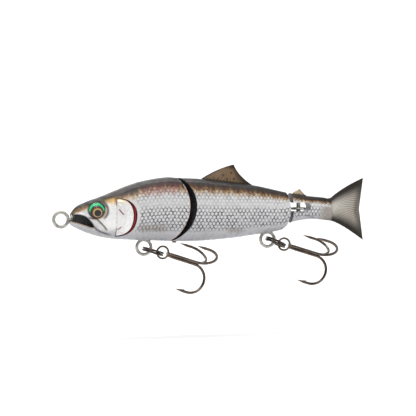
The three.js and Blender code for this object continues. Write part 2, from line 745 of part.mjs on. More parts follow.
function tailFinOutline() {
  const root_low = tail_fin_pin_z - tail_fin_root_height / 2;
  const root_high = root_low + tail_fin_root_height;
  const flare_x = tail_rear_x + fit_gap;
  const low = bellyAt(tail_rear_x);
  const high = backAt(tail_rear_x);
  const top = tail_slot_middle + tail_fin_upper;
  const bottom = tail_slot_middle - tail_fin_lower;
  const notch_x = tail_fin_tip_x - tail_fin_notch;
  const notch_z = (top + bottom) / 2 - tail_fin_notch_drop;
  const { along, up } = tail_fin_sweep;
  const shape = new THREE.Shape();
  shape.moveTo(tail_fin_root_x, root_low);
  shape.lineTo(flare_x, root_low);
  shape.lineTo(flare_x, low);
  const bow_x = tail_rear_x + tail_fin_flare.along;
  shape.quadraticCurveTo(bow_x, bottom + tail_fin_flare.lower, tail_fin_tip_x, bottom);
  shape.quadraticCurveTo(notch_x + along, notch_z - up, notch_x, notch_z);
  shape.quadraticCurveTo(notch_x + along / 2, notch_z + up, tail_fin_tip_x, top);
  shape.quadraticCurveTo(bow_x, top - tail_fin_flare.upper, flare_x, high);
  shape.lineTo(flare_x, root_high);
  shape.lineTo(tail_fin_root_x, root_high);
  shape.closePath();
  return { shape, root_low, root_high };
}

const tail_fin_outline = tailFinOutline();
const tail_fin_pin_half = sideAt(tail_fin_pin_x) - tail_fin_pin_cover;
const tailFinPin = (half_length, radius) =>
  bar([tail_fin_pin_x, -half_length, tail_fin_pin_z], [tail_fin_pin_x, half_length, tail_fin_pin_z], radius);

function tailBody() {
  const skin = bodyLoft(tail_front_x, tail_rear_x, 0, 8);
  const slot_radius = tail_slot_height / 2;
  const round_x = tail_slot_end - slot_radius;
  const slot = box([tail_front_x - wall, -far, tail_slot_low], [round_x, far, tail_slot_high]);
  const slot_round = bar(
    [round_x, -far, tail_slot_middle],
    [round_x, far, tail_slot_middle],
    slot_radius,
    24,
  );
  const pin_bore = bar(
    [tail_joint_x, 0, tail_pin_low - fit_gap],
    [tail_joint_x, 0, tail_pin_high + fit_gap],
    joint_pin_radius + fit_gap,
  );
  const { root_low, root_high } = tail_fin_outline;
  const half_root = tail_fin_thickness / 2 + fit_gap;
  const fin_root = box(
    [tail_fin_root_x - fit_gap, -half_root, root_low - fit_gap],
    [tail_rear_x + wall, half_root, root_high + fit_gap],
  );
  const fin_pin_bore = tailFinPin(tail_fin_pin_half + fit_gap / 2, tail_fin_pin_radius + fit_gap);
  const groove = finGroove(adipose_fin, tail_front_x);
  return skin.subtract(joined([slot, slot_round, pin_bore, fin_root, fin_pin_bore, groove]));
}

const tail_body = tailBody();
const tail_pin = bar([tail_joint_x, 0, tail_pin_low], [tail_joint_x, 0, tail_pin_high], joint_pin_radius);
const tail_fin = slab(tail_fin_outline.shape, -tail_fin_thickness / 2, tail_fin_thickness / 2);
const tail_section = group(
  piece("tail_shell_left", half(tail_body, sides.left), painted_shell),
  piece("tail_shell_right", half(tail_body, sides.right), painted_shell),
  piece("tail_joint_pin", tail_pin, steel),
  piece("adipose_fin", backFin(adipose_fin, tail_front_x), fin_film),
  piece("tail_fin", tail_fin.subtract(tailFinPin(far, tail_fin_pin_radius + fit_gap)), soft_tail),
  piece("tail_fin_pin", tailFinPin(tail_fin_pin_half, tail_fin_pin_radius), steel),
);

// ---------- Split rings ----------
// Nearly two turns of wire that step from one level to the other over a short stretch.
function splitRing() {
  const steps = 34;
  const turn_pitch = 2 * ring_wire_radius + ring_turn_gap;
  const points = Array.from({ length: steps + 1 }, (_, i) => {
    const angle = THREE.MathUtils.lerp(ring_ends.from, ring_ends.to, i / steps);
    const level = THREE.MathUtils.smoothstep(angle, ring_step.from, ring_step.to) - 0.5;
    const turn = degrees(angle);
    return new THREE.Vector3(
      ring_radius * Math.cos(turn),
      ring_radius * Math.sin(turn),
      turn_pitch * level,
    );
  });
  return solid(wire(points, ring_wire_radius, steps));
}

// ---------- Treble hooks ----------
// The middle of one hook's wire in its own plane: shank, round bend, point.
function hookPoints() {
  const start = hook_eye_radius - hook_eye_wire_radius;
  const points = [0, 0.35, 0.7, 0.95].map((share) => [
    THREE.MathUtils.lerp(start, hook_shank_length, share),
    hook_shank_offset,
  ]);
  const bend_steps = 10;
  for (let i = 0; i <= bend_steps; i += 1) {
    const turn = Math.PI * (i / bend_steps - 0.5);
    points.push([
      hook_shank_length + hook_bend_radius * Math.cos(turn),
      hook_shank_offset + hook_bend_radius * (1 + Math.sin(turn)),
    ]);
  }
  const leg = hook_point_length - hook_taper;
  points.push([hook_shank_length - leg, hook_shank_offset + 2 * hook_bend_radius]);
  return points.map(([along, out]) => new THREE.Vector3(along, 0, out));
}

function hook() {
  const tip_out = hook_shank_offset + 2 * hook_bend_radius;
  const leg_end = hook_shank_length - (hook_point_length - hook_taper);
  const tip = new THREE.ConeGeometry(hook_wire_radius, hook_taper + hook_join, wire_sides);
  tip.rotateZ(Math.PI / 2);
  tip.translate(leg_end + (hook_join - hook_taper) / 2, 0, tip_out);
  const barb = new THREE.ConeGeometry(barb_radius, barb_length, 4);
  barb.rotateZ(-Math.PI / 2);
  barb.rotateY(degrees(barb_tilt));
  barb.translate(leg_end + hook_join / 2, 0, tip_out - hook_wire_radius);
  return joined([solid(wire(hookPoints(), hook_wire_radius, 20)), solid(tip), solid(barb)]);
}

function treble() {
  const one = geometryOf(hook());
  const parts = [90, 210, 330].map((turn) => {
    const copy = one.clone();
    copy.rotateX(degrees(turn + 90));
    return solid(copy);
  });
  const eye = new THREE.TorusGeometry(hook_eye_radius, hook_eye_wire_radius, wire_sides, 20);
  eye.rotateX(Math.PI / 2);
  return joined([...parts, solid(eye)]);
}

function hookSet(label, { x, seat, hang, ring_pitch, pitch, yaw }) {
  const near = hangerCentre(x).add(new THREE.Vector3(seat[0], 0, seat[1]));
  const tilt = degrees(ring_pitch);
  const reach = new THREE.Vector3(Math.cos(tilt), 0, -Math.sin(tilt)).multiplyScalar(ring_radius);
  const ring_half = 2 * ring_wire_radius + ring_turn_gap / 2;
  const drop = hook_eye_radius - hook_eye_wire_radius - ring_half - hook_hang_gap;
  const link = new THREE.Vector3(Math.cos(degrees(hang)), 0, Math.sin(degrees(hang))).multiplyScalar(drop);
  const ring = piece(`split_ring_${label}`, splitRing(), black_nickel);
  ring.position.copy(near).add(reach);
  ring.rotation.set(0, tilt, degrees(90), "YXZ");
  const hooks = piece(`treble_${label}`, treble(), black_nickel);
  hooks.position.copy(near).addScaledVector(reach, 2).add(link);
  hooks.rotation.set(0, degrees(pitch), degrees(yaw), "ZYX");
  return group(ring, hooks);
}

const hooks = group(...Object.entries(hook_sets).map(([label, set]) => hookSet(label, set)));

export default group(front_section, middle_section, tail_section, hooks);
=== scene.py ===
import bmesh
import bpy
import math
import numpy as np
from mathutils import Matrix, Vector


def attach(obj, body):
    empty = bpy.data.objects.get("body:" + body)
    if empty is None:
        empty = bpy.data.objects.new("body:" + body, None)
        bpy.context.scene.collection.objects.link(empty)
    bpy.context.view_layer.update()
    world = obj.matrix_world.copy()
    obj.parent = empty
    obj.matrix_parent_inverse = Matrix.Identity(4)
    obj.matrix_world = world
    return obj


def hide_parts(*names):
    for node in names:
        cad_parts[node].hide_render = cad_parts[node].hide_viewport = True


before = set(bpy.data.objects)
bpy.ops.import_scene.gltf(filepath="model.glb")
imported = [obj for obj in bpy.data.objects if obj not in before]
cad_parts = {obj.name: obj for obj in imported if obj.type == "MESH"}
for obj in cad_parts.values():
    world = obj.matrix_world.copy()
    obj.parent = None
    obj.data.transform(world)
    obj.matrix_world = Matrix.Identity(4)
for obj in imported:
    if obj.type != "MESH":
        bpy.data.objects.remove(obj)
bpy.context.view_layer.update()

# Millimetres while shaping; every mesh is scaled to metres when it is finished.
MM = 0.001
BODY_START, BODY_LENGTH = 4.2, 142.2
BACK_HEIGHT, BELLY_DEPTH, BODY_WIDTH = 21.5, 12.1, 19.0
POWER = 2.2
FRONT_PIN_X, TAIL_PIN_X = 60.0, 128.3
RIM_X, RIM_Z, RIM_R = 42.6, 7.0, 23.5
MIDDLE_REAR_X, TAIL_FRONT_X, TAIL_REAR_X = 122.2, 124.0, 146.4
EYE_X, EYE_Z, EYE_R = 17.3, 5.0, 4.1
GILL_X, GILL_Y, GILL_MID = 28.0, 7.1, 2.2
FAR = 60.0

BACK = [(0, 3), (.7, 15), (2.3, 29), (5.3, 39.5), (11.5, 54), (20.7, 78), (26.8, 90.5), (36, 100), (40, 98.5),
        (49.8, 95), (69.2, 79.5), (82, 61.5), (89.9, 52.5), (97.2, 47.5), (100, 43)]
BELLY = [(0, 6), (.4, 21), (2.2, 35), (6.9, 60), (13, 79.5), (19.1, 88), (31.4, 95), (44.9, 100), (58.9, 91),
         (72.8, 71), (80.5, 56), (82, 43), (83.5, 28), (86.1, 18.5), (90, 12), (94, 11), (100, 19)]
SIDE = [(0, 22), (.7, 32), (2.3, 45), (5.3, 60), (11.5, 80), (18, 91), (26, 98), (36, 100), (50, 97),
        (65, 86), (75, 73), (82, 61), (86, 53), (92, 42), (97, 32), (100, 27)]


# ---------- Lines, sections and masks ----------
def line_at(line, x):
    share = 100 * (np.asarray(x, float) - BODY_START) / BODY_LENGTH
    xs, ys = np.array(line, float).T
    slope = np.empty(len(xs))
    slope[1:-1] = (ys[2:] - ys[:-2]) / (xs[2:] - xs[:-2])
    slope[0] = (ys[1] - ys[0]) / (xs[1] - xs[0])
    slope[-1] = (ys[-1] - ys[-2]) / (xs[-1] - xs[-2])
    i = np.clip(np.searchsorted(xs, share) - 1, 0, len(xs) - 2)
    span, rise = xs[i + 1] - xs[i], ys[i + 1] - ys[i]
    t = np.clip((share - xs[i]) / span, 0, 1)
    a, b = slope[i] * span - rise, rise - slope[i + 1] * span
    return ys[i] + t * rise + t * (1 - t) * ((1 - t) * a + t * b)


def back_at(x):
    return BACK_HEIGHT * line_at(BACK, x) / 100


def belly_at(x):
    return -BELLY_DEPTH * line_at(BELLY, x) / 100


def side_at(x):
    return BODY_WIDTH * line_at(SIDE, x) / 200


def half_width(x, z):
    mid, half = (back_at(x) + belly_at(x)) / 2, (back_at(x) - belly_at(x)) / 2
    rise = np.clip(np.abs(z - mid) / half, 0, 1)
    return side_at(x) * (1 - rise ** POWER) ** (1 / POWER)


def step(lo, hi, value):
    t = np.clip((np.asarray(value, float) - lo) / (hi - lo), 0, 1)
    return t * t * (3 - 2 * t)


def bump(value, centre, width):
    return np.exp(-((value - centre) / width) ** 2)


def polyline_distance(x, z, points):
    best = np.full(np.shape(x), 1e9)
    for (x0, z0), (x1, z1) in zip(points[:-1], points[1:]):
        dx, dz = x1 - x0, z1 - z0
        t = np.clip(((x - x0) * dx + (z - z0) * dz) / max(dx * dx + dz * dz, 1e-9), 0, 1)
        best = np.minimum(best, np.hypot(x - x0 - t * dx, z - z0 - t * dz))
    return best


def quadratic(p0, p1, p2, n=10):
    t = np.linspace(0, 1, n)[:, None]
    return ((1 - t) ** 2 * np.array(p0) + 2 * t * (1 - t) * np.array(p1) + t * t * np.array(p2)).tolist()


def cubic(p0, p1, p2, p3, n=24):
    t = np.linspace(0, 1, n)[:, None]
    p0, p1, p2, p3 = map(np.array, (p0, p1, p2, p3))
    return ((1 - t) ** 3 * p0 + 3 * t * (1 - t) ** 2 * p1 + 3 * t * t * (1 - t) * p2 + t ** 3 * p3).tolist()


# Girth: millimetres round the section from its widest point, positive towards the back.
ARC_X = np.linspace(BODY_START, TAIL_REAR_X, 140)
ARC_T = np.linspace(0, math.pi / 2, 60)
_c, _s = np.cos(ARC_T) ** (2 / POWER), np.sin(ARC_T) ** (2 / POWER)
_y = side_at(ARC_X)[:, None] * _c[None]
_z = ((back_at(ARC_X) - belly_at(ARC_X)) / 2)[:, None] * _s[None]
ARC = np.concatenate([np.zeros((140, 1)), np.cumsum(np.hypot(np.diff(_y), np.diff(_z)), axis=1)], axis=1)


def section_facts(p):
    x, y, z = p.T
    mid, half = (back_at(x) + belly_at(x)) / 2, (back_at(x) - belly_at(x)) / 2
    side = side_at(x)
    zz = np.clip((z - mid) / half, -1, 1)
    share = (np.abs(y / side) ** POWER + np.abs(zz) ** POWER) ** (1 / POWER)
    radial = np.hypot(y, z - mid)
    depth = np.where(share > 0.02, (1 - share) * radial / np.maximum(share, 0.02), np.minimum(side, half))
    turn = np.arcsin(np.clip(np.abs(zz) / np.maximum(share, 1e-3), 0, 1) ** (POWER / 2))
    i = np.clip((x - ARC_X[0]) / (ARC_X[1] - ARC_X[0]), 0, 138.999)
    j = np.clip(turn / (ARC_T[1] - ARC_T[0]), 0, 58.999)
    i0, j0 = i.astype(int), j.astype(int)
    fi, fj = i - i0, j - j0
    girth = ((1 - fi) * (1 - fj) * ARC[i0, j0] + fi * (1 - fj) * ARC[i0 + 1, j0]
             + (1 - fi) * fj * ARC[i0, j0 + 1] + fi * fj * ARC[i0 + 1, j0 + 1])
    return {"x": x, "y": y, "z": z, "h": (zz + 1) / 2, "depth": depth, "girth": girth * np.sign(zz)}


SCALE_X, SCALE_G = 2.03, 3.4


def scale_dome(x, girth):
    def nearest(shift):
        fu = (x / SCALE_X + shift) % 1 - 0.5
        fv = (girth / SCALE_G + shift) % 1 - 0.5
        return np.hypot(fu * SCALE_X, fv * SCALE_G)
    return 1 - np.minimum(nearest(0), nearest(0.5)) / (0.62 * SCALE_X)


NOSTRIL = (9.3, 5.9)
SLITS = ([(28.7, 5.2), (30.9, 2.6)], [(28.2, -5.2), (29.8, -3.9)])
GILL_RIDGE_X, GILL_RIDGE_R, GILL_RIDGE_PITCH = 24, 13.5, 1.9
MAXILLA = [(13.6, 1.0), (15.4, .55), (17.2, .4), (18.6, -.9), (20.2, -2.5), (21.6, -4.1), (22.4, -5.2)]
JAW = [(16.2, -3.7), (17.6, -5.2), (20, -6.4), (23, -7.4), (26, -8.2)]
MOUTH = ([(4, 2.3), (5, 2.4)] + quadratic((5, 2.4), (10, 3.2), (12.8, .7))
         + quadratic((12.8, .7), (15.4, -1.8), (16.2, -3.6))
         + quadratic((16.2, -3.6), (15.6, -4.6), (12.5, -3.1))
         + quadratic((12.5, -3.1), (8.5, -1.7), (4, -.6)))
OPERCLE = cubic((29.3, 7.6), (31.4, 4.5), (31.6, -.5), (28.6, -5.6))
BROW = [(12.2, 9.0), (15, 10.4), (18.5, 11.2), (22, 11.3), (26, 12.2), (31, 13.2)]


def gill_outline(front, rear, top, bottom):
    reach = rear - front
    upper = GILL_MID + 0.6 * (top - GILL_MID)
    lower = GILL_MID - 0.55 * (GILL_MID - bottom)
    return (cubic((front, top), (front + .65 * reach, top + 1), (rear, upper), (rear, GILL_MID))
            + cubic((rear, GILL_MID), (rear, lower), (front + .75 * reach, bottom), (front, bottom))[1:])


def relief(f):
    x, y, z, h = f["x"], np.abs(f["y"]), f["z"], f["h"]
    total = 0.07 * scale_dome(x, f["girth"]) * scale_zone(x, h, z)
    eye = np.hypot(x - EYE_X, z - EYE_Z)
    total = total + 0.14 * bump(eye, 4.95, .45)
    total -= 0.22 * bump(polyline_distance(x, z, MAXILLA), 0, .33)
    total += 0.12 * bump(polyline_distance(x, z, MAXILLA), 1.0, .5)
    total -= 0.18 * bump(polyline_distance(x, z, JAW), 0, .4)
    total += 0.2 * bump(polyline_distance(x, z, MOUTH), 0.55, .4) * (x < 16.5)
    nostril = np.hypot(x - NOSTRIL[0], z - NOSTRIL[1])
    total -= 0.24 * bump(nostril, 0, .5)
    total += 0.12 * bump(nostril, .95, .35)
    total += 0.14 * bump(polyline_distance(x, z, BROW), 0, .7)
    total -= 0.1 * bump(h, .56, .012) * step(41, 45, x)
    total -= 0.3 * step(26.5, 27.3, x) * (x < 29) * step(-10, -9, z) * (1 - step(10.6, 11.6, z))
    return total * step(0.8, 2.0, y)


def scale_zone(x, h, z):
    behind_gill = step(0, 2.2, x - 38.6 + 0.035 * (z - GILL_MID) ** 2)
    return behind_gill * step(.13, .2, h) * (1 - step(.9, .97, h))


# ---------- Paint ----------
def rgb(code):
    values = [int(code[i:i + 2], 16) / 255 for i in (0, 2, 4)]
    return np.array([v / 12.92 if v <= .04045 else ((v + .055) / 1.055) ** 2.4 for v in values])


def layer(colour, over, share):
    return colour + (rgb(over) - colour) * np.asarray(share)[:, None]


def layers(colour, rows):
    for over, share in rows:
        colour = layer(colour, over, share)
    return colour


FRONT_SPOTS = [(50, 16.9, .9, .8), (52.4, 17.9, .7, .6), (57.2, 17.1, 1.5, .5), (54.5, 18.9, .5, .5),
               (49.4, 18.9, .5, .5), (46.2, 15.4, .8, .5), (60.4, 17.7, .6, .5), (44.2, 16.8, .5, .5),
               (47.3, 17.4, .5, .4), (41.6, 15.2, .5, .45), (55.4, 15.6, .4, .3), (58.3, 18.7, .5, .4)]
MIDDLE_SPOTS = [(67.7, 17.5, .75, .6), (72.4, 16, .75, .6), (79.1, 16.3, .75, .7), (78.5, 18.3, .9, .5),
                (76, 15, .5, .4), (69.6, 15.8, .4, .4), (71.2, 14.8, .5, .35), (67.8, 19.5, .9, .4),
                (83.5, 15.2, .6, .5), (88, 15.9, .5, .45), (92.5, 13.6, .6, .5), (97, 13.9, .45, .4),
                (101.5, 12.2, .5, .4), (106, 11.6, .45, .4), (110.6, 10.3, .4, .35), (86.2, 17.3, .5, .4)]


def spots(x, z, rows):
    total = np.zeros(np.shape(x))
    for sx, sz, rx, rz in rows:
        total = np.maximum(total, 1 - step(.6, 1.25, np.hypot((x - sx) / rx, (z - sz) / rz)))
    return total


def trout(f):
    """Paint colour, strength of the scale net and of the dark speckle at each point of the skin."""
    x, z, h = f["x"], f["z"], f["h"]
    y = np.abs(f["y"])
    wave = 0.012 * np.sin(x * .9) + 0.01 * np.sin(x * 2.3 + 1)
    head = 1 - step(30, 42, x)
    tail = step(122, 134, x)
    lift = 0.05 * tail + 0.035 * head
    b = h + wave + lift
    colour = np.tile(rgb("dcdcdd"), (len(x), 1))
    colour = layers(colour, [
        # Greyer, then darker grey towards the belly: painted shade under the body.
        ("c0c0c3", 1 - step(.12, .5, h)),
        ("9f9fa3", 1 - step(.0, .2, h)),
        ("cbb597", .9 * step(.72, .81, b)),
        ("8f6a40", .95 * step(.785, .85, b)),
        ("453221", step(.835, .89, b)),
        ("15130f", step(.885, .94, b)),
    ])
    # Head: golden snout edge and cheek, dark crown.
    snout = (1 - step(9, 15, x)) * step(.70, .86, h)
    colour = layer(colour, "8a6c4a", .85 * snout)
    cheek = step(17, 22, x) * (1 - step(31, 38, x)) * (1 - step(7, 10, z)) * step(-7, -3, z)
    colour = layer(colour, "f1f0ee", cheek)
    gold = bump(x, 25.5, 4.2) * bump(z, 9.9, 2.0)
    colour = layer(colour, "d0a659", .85 * gold)
    brow = bump(polyline_distance(x, z, BROW), .6, .65) * step(17, 20, x) * (1 - step(32, 36, x))
    colour = layer(colour, "3d2f23", .9 * brow)
    colour = layer(colour, "241d18", .95 * step(.87, .95, h) * (1 - step(36, 44, x)))
    # Pectoral and ventral patches, rear of the tail section.
    streak = .65 + .35 * np.sin(x * 3.4 + .8 * np.sin(z * 1.1))
    patch = step(38.5, 40, x) * (1 - step(50, 59, x)) * bump(z, -4.6 - .02 * (x - 39), 2.0) * streak
    colour = layer(colour, "6d6252", .9 * patch)
    ventral = step(86.5, 88, x) * (1 - step(93, 99, x)) * bump(z, -6.4, 1.2) * streak
    colour = layer(colour, "7d7363", .8 * ventral)
    rear = step(137, 143, x) * (1 - step(4.5, 6.5, z))
    colour = layer(colour, "8d8274", .75 * rear)
    colour = layer(colour, "554a40", .7 * step(141, 146, x) * (1 - step(-2, 1, z)))
    crease = polyline_distance(x, z, [(130.8, .9), (133.2, .6), (136, -.3)])
    colour = layer(colour, "6f6f70", .7 * bump(crease, 0, .4))
    pink = step(40, 44, x) * (1 - step(58, 64, x)) * bump(h, .8, .06)
    colour = layers(colour, [
        ("d9a3ad", .35 * pink),
        ("6e1f36", .8 * spots(x, z, FRONT_SPOTS) * (x < 66)),
        ("5a1c2c", .9 * spots(x, z, MIDDLE_SPOTS) * (x > 62)),
    ])
    # Lines of the face.
    eye = np.hypot(x - EYE_X, z - EYE_Z)
    turn = np.degrees(np.arctan2(z - EYE_Z, x - EYE_X))
    side = step(.8, 2, y)
    lower_rear = step(-140, -110, turn) * (1 - step(0, 35, turn))
    colour = layer(colour, "cdb183", .85 * bump(eye, 4.85, .3) * lower_rear * side)
    colour = layer(colour, "221a14", .95 * bump(eye, 4.4, .2) * side)
    upper_rear = step(-62, -40, turn) * (1 - step(75, 110, turn))
    colour = layer(colour, "3a2c22", .95 * bump(eye, 5.7, .6) * upper_rear * side)
    above = step(0, 30, turn) * (1 - step(130, 160, turn))
    colour = layer(colour, "2a2019", .9 * bump(eye, 5.0, .8) * above * side)
    colour = layer(colour, "4a3018", .98 * bump(polyline_distance(x, z, MAXILLA), 0, .46) * side)
    jaw = bump(polyline_distance(x, z, JAW), 0, .55) * (1 - step(22, 27, x))
    colour = layer(colour, "3f3d3a", .9 * jaw * side)
    lower_lip = bump(polyline_distance(x, z, MOUTH), 0.25, .4) * (z < -.6 - .12 * (x - 4)) * (x < 15.8)
    colour = layer(colour, "94785a", .9 * lower_lip)
    upper_lip = bump(polyline_distance(x, z, MOUTH), 0.05, .28) * (z >= -.6 - .12 * (x - 4)) * (x < 16.6)
    colour = layer(colour, "2a2624", .9 * upper_lip)
    colour = layer(colour, "4b453e", .9 * bump(np.hypot(x - NOSTRIL[0], z - NOSTRIL[1]), 0, .5))
    # Pale pinkish line along the front section's rear rim: painted edge highlight on the sharp rim.
    rim = 1 - step(.25, .6, np.abs(RIM_R - np.hypot(np.maximum(x - RIM_X, 0), z - RIM_Z)))
    colour = layer(colour, "e8c9bd", .7 * rim * (x < 67) * (x > 50) * (h < .9))
    net = scale_zone(x, h, z) * (.62 + .38 * (1 - step(.45, .65, h))) * (1 - .85 * patch)
    # The net fades in a narrow band at 0.62 of the height: painted highlight along the upper flank.
    net = net * (1 - .6 * bump(h, .62, .06)) * (1 - .8 * rear)
    speckle = step(.72, .82, b) * (1 - .45 * step(.93, .98, b)) * (.25 + .75 * step(26, 36, x))
    return {"paint": colour, "net": net, "speckle": speckle, "girth": f["girth"], "matt": step(.8, .9, b)}


# ---------- Meshes ----------
def make(name, points, faces):
    mesh = bpy.data.meshes.new(name)
    mesh.from_pydata(np.asarray(points, float).tolist(), [], [tuple(f) for f in faces])
    mesh.validate()
    obj = bpy.data.objects.new(name, mesh)
    bpy.context.scene.collection.objects.link(obj)
    return obj


def points_of(mesh):
    out = np.empty(len(mesh.vertices) * 3)
    mesh.vertices.foreach_get("co", out)
    return out.reshape(-1, 3)


def grid_faces(rows, columns, wrap):
    faces = []
    for i in range(rows - 1):
        for j in range(columns if wrap else columns - 1):
            k = (j + 1) % columns
            a, b = i * columns, (i + 1) * columns
            faces.append((a + j, b + j, b + k, a + k))
    return faces


def tube_mesh(rings):
    """A closed solid through rings of points, in order."""
    rings = np.asarray(rings, float)
    rows, columns, _ = rings.shape
    points = np.concatenate([rings.reshape(-1, 3), rings[0].mean(0)[None], rings[-1].mean(0)[None]])
    faces = grid_faces(rows, columns, True)
    first, last, end = rows * columns, rows * columns + 1, (rows - 1) * columns
    faces += [(first, j, (j + 1) % columns) for j in range(columns)]
    faces += [(last, end + (j + 1) % columns, end + j) for j in range(columns)]
    return points, faces


def outward(obj):
    work = bmesh.new()
    work.from_mesh(obj.data)
    bmesh.ops.recalc_face_normals(work, faces=work.faces)
    work.to_mesh(obj.data)
    work.free()
    return obj


def solid(name, points, faces):
    return outward(make(name, points, faces))


def loft(name, x_from, x_to, spacing, around, inset=0.0, relieved=False, bulge=None):
    xs = np.linspace(x_from, x_to, max(2, int(round((x_to - x_from) / spacing)) + 1))
    turn = np.linspace(0, 2 * math.pi, around, endpoint=False)
    c = np.sign(np.cos(turn)) * np.abs(np.cos(turn)) ** (2 / POWER)
    s = np.sign(np.sin(turn)) * np.abs(np.sin(turn)) ** (2 / POWER)
    mid, half = (back_at(xs) + belly_at(xs)) / 2, (back_at(xs) - belly_at(xs)) / 2 - inset
    side = side_at(xs) - inset
    p = np.stack([np.repeat(xs[:, None], around, 1), side[:, None] * c,
                  mid[:, None] + half[:, None] * s], axis=2)
    if relieved or bulge is not None:
        flat = p.reshape(-1, 3)
        facts = section_facts(flat)
        amount = relief(facts) if relieved else np.zeros(len(flat))
        if bulge is not None:
            amount = amount + bulge(facts)
        ny = np.sign(c) * np.abs(c) ** (POWER - 1) / side[:, None]
        nz = np.sign(s) * np.abs(s) ** (POWER - 1) / half[:, None]
        size = np.hypot(ny, nz)
        p = p.copy()
        p[..., 1] += (ny / size) * amount.reshape(len(xs), around)
        p[..., 2] += (nz / size) * amount.reshape(len(xs), around)
    return solid(name, *tube_mesh(p))


def prism_faces(n):
    """Faces between two copies of an outline of n points."""
    faces = [tuple(range(n)), tuple(range(2 * n - 1, n - 1, -1))]
    return faces + [(i, n + i, n + (i + 1) % n, (i + 1) % n) for i in range(n)]


def prism(name, outline, y0, y1):
    outline = [p for p, q in zip(outline, outline[1:] + outline[:1]) if math.dist(p, q) > 1e-6]
    points = [(x, y0, z) for x, z in outline] + [(x, y1, z) for x, z in outline]
    return solid(name, points, prism_faces(len(outline)))


def block(name, lo, hi):
    return prism(name, [(lo[0], lo[2]), (hi[0], lo[2]), (hi[0], hi[2]), (lo[0], hi[2])], lo[1], hi[1])


def lathe(name, profile, sides, origin, axis=(0, 0, 1)):
    """profile: (radius, height) up the axis from the origin."""
    turn = np.linspace(0, 2 * math.pi, sides, endpoint=False)
    up = Vector(axis).normalized()
    spin = np.array(up.to_track_quat("Z", "X").to_matrix())
    rings = np.array([[(r * math.cos(t), r * math.sin(t), h) for t in turn] for r, h in profile])
    return solid(name, *tube_mesh(rings @ spin.T + np.array(origin)))


def rod(name, radius, z0, z1, sides, x, y=0):
    return lathe(name, [(.001, z0), (radius, z0), (radius, z1), (.001, z1)], sides, (x, y, 0))


def tube(name, path, radius, sides=16, closed=False):
    path = np.asarray(path, float)
    n = len(path)
    radius = np.broadcast_to(np.asarray(radius, float), (n,))
    if closed:
        way = np.roll(path, -1, 0) - np.roll(path, 1, 0)
    else:
        way = np.gradient(path, axis=0)
    way /= np.linalg.norm(way, axis=1)[:, None]
    seed = np.array([0, 1, 0]) if abs(way[0][1]) < .8 else np.array([1, 0, 0])
    side = np.cross(way[0], seed)
    rings = []
    for i in range(n):
        side = side - way[i] * side.dot(way[i])
        side /= np.linalg.norm(side)
        other = np.cross(way[i], side)
        t = np.linspace(0, 2 * math.pi, sides, endpoint=False)[:, None]
        rings.append(path[i] + radius[i] * (np.cos(t) * side + np.sin(t) * other))
    if closed:
        points = np.concatenate(rings)
        faces = grid_faces(n, sides, True)
        last = (n - 1) * sides
        faces += [(last + j, j, (j + 1) % sides, last + (j + 1) % sides) for j in range(sides)]
        return solid(name, points, faces)
    return solid(name, *tube_mesh(rings))


def boolean(obj, cutters, operation="DIFFERENCE"):
    for cutter in cutters:
        m = obj.modifiers.new("cut", "BOOLEAN")
        m.operation, m.object, m.solver = operation, cutter, "MANIFOLD"
    graph = bpy.context.evaluated_depsgraph_get()
    mesh = bpy.data.meshes.new_from_object(obj.evaluated_get(graph))
    obj.modifiers.clear()
    obj.data = mesh
    for cutter in cutters:
        bpy.data.objects.remove(cutter)
    if not len(mesh.polygons):
        raise ValueError(obj.name + " came out empty")
    return obj


def moved(obj, matrix):
    obj.data.transform(matrix)
    obj.data.update()
    return obj


def join(name, objects):
    points, faces, base = [], [], 0
    for o in objects:
        points.append(points_of(o.data))
        faces += [tuple(base + v for v in p.vertices) for p in o.data.polygons]
        base += len(o.data.vertices)
        bpy.data.objects.remove(o)
    return make(name, np.concatenate(points), faces)


def attribute(mesh, name, values):
    values = np.asarray(values, float)
    if values.ndim == 2:
        a = mesh.attributes.new(name, "FLOAT_COLOR", "POINT")
        a.data.foreach_set("color", np.concatenate([values, np.ones((len(values), 1))], 1).ravel())
    else:
        a = mesh.attributes.new(name, "FLOAT", "POINT")
        a.data.foreach_set("value", values.ravel())


def done(obj, body, material, slot, *replaced, angle=40, material_of_face=None):
    """Finishes a piece: metres, smooth shading, materials, the body that it rides on."""
    mesh = obj.data
    mesh.materials.clear()
    for m in (material if isinstance(material, list) else [material]):
        mesh.materials.append(m)
    if material_of_face is not None:
        mesh.polygons.foreach_set("material_index", material_of_face.astype(np.int32))
    mesh.polygons.foreach_set("use_smooth", np.ones(len(mesh.polygons), bool))
    mesh.set_sharp_from_angle(angle=math.radians(angle))
    mesh.transform(Matrix.Scale(MM, 4))
    mesh.update()
    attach(obj, body)
    if replaced:
        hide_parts(*replaced)
    return obj


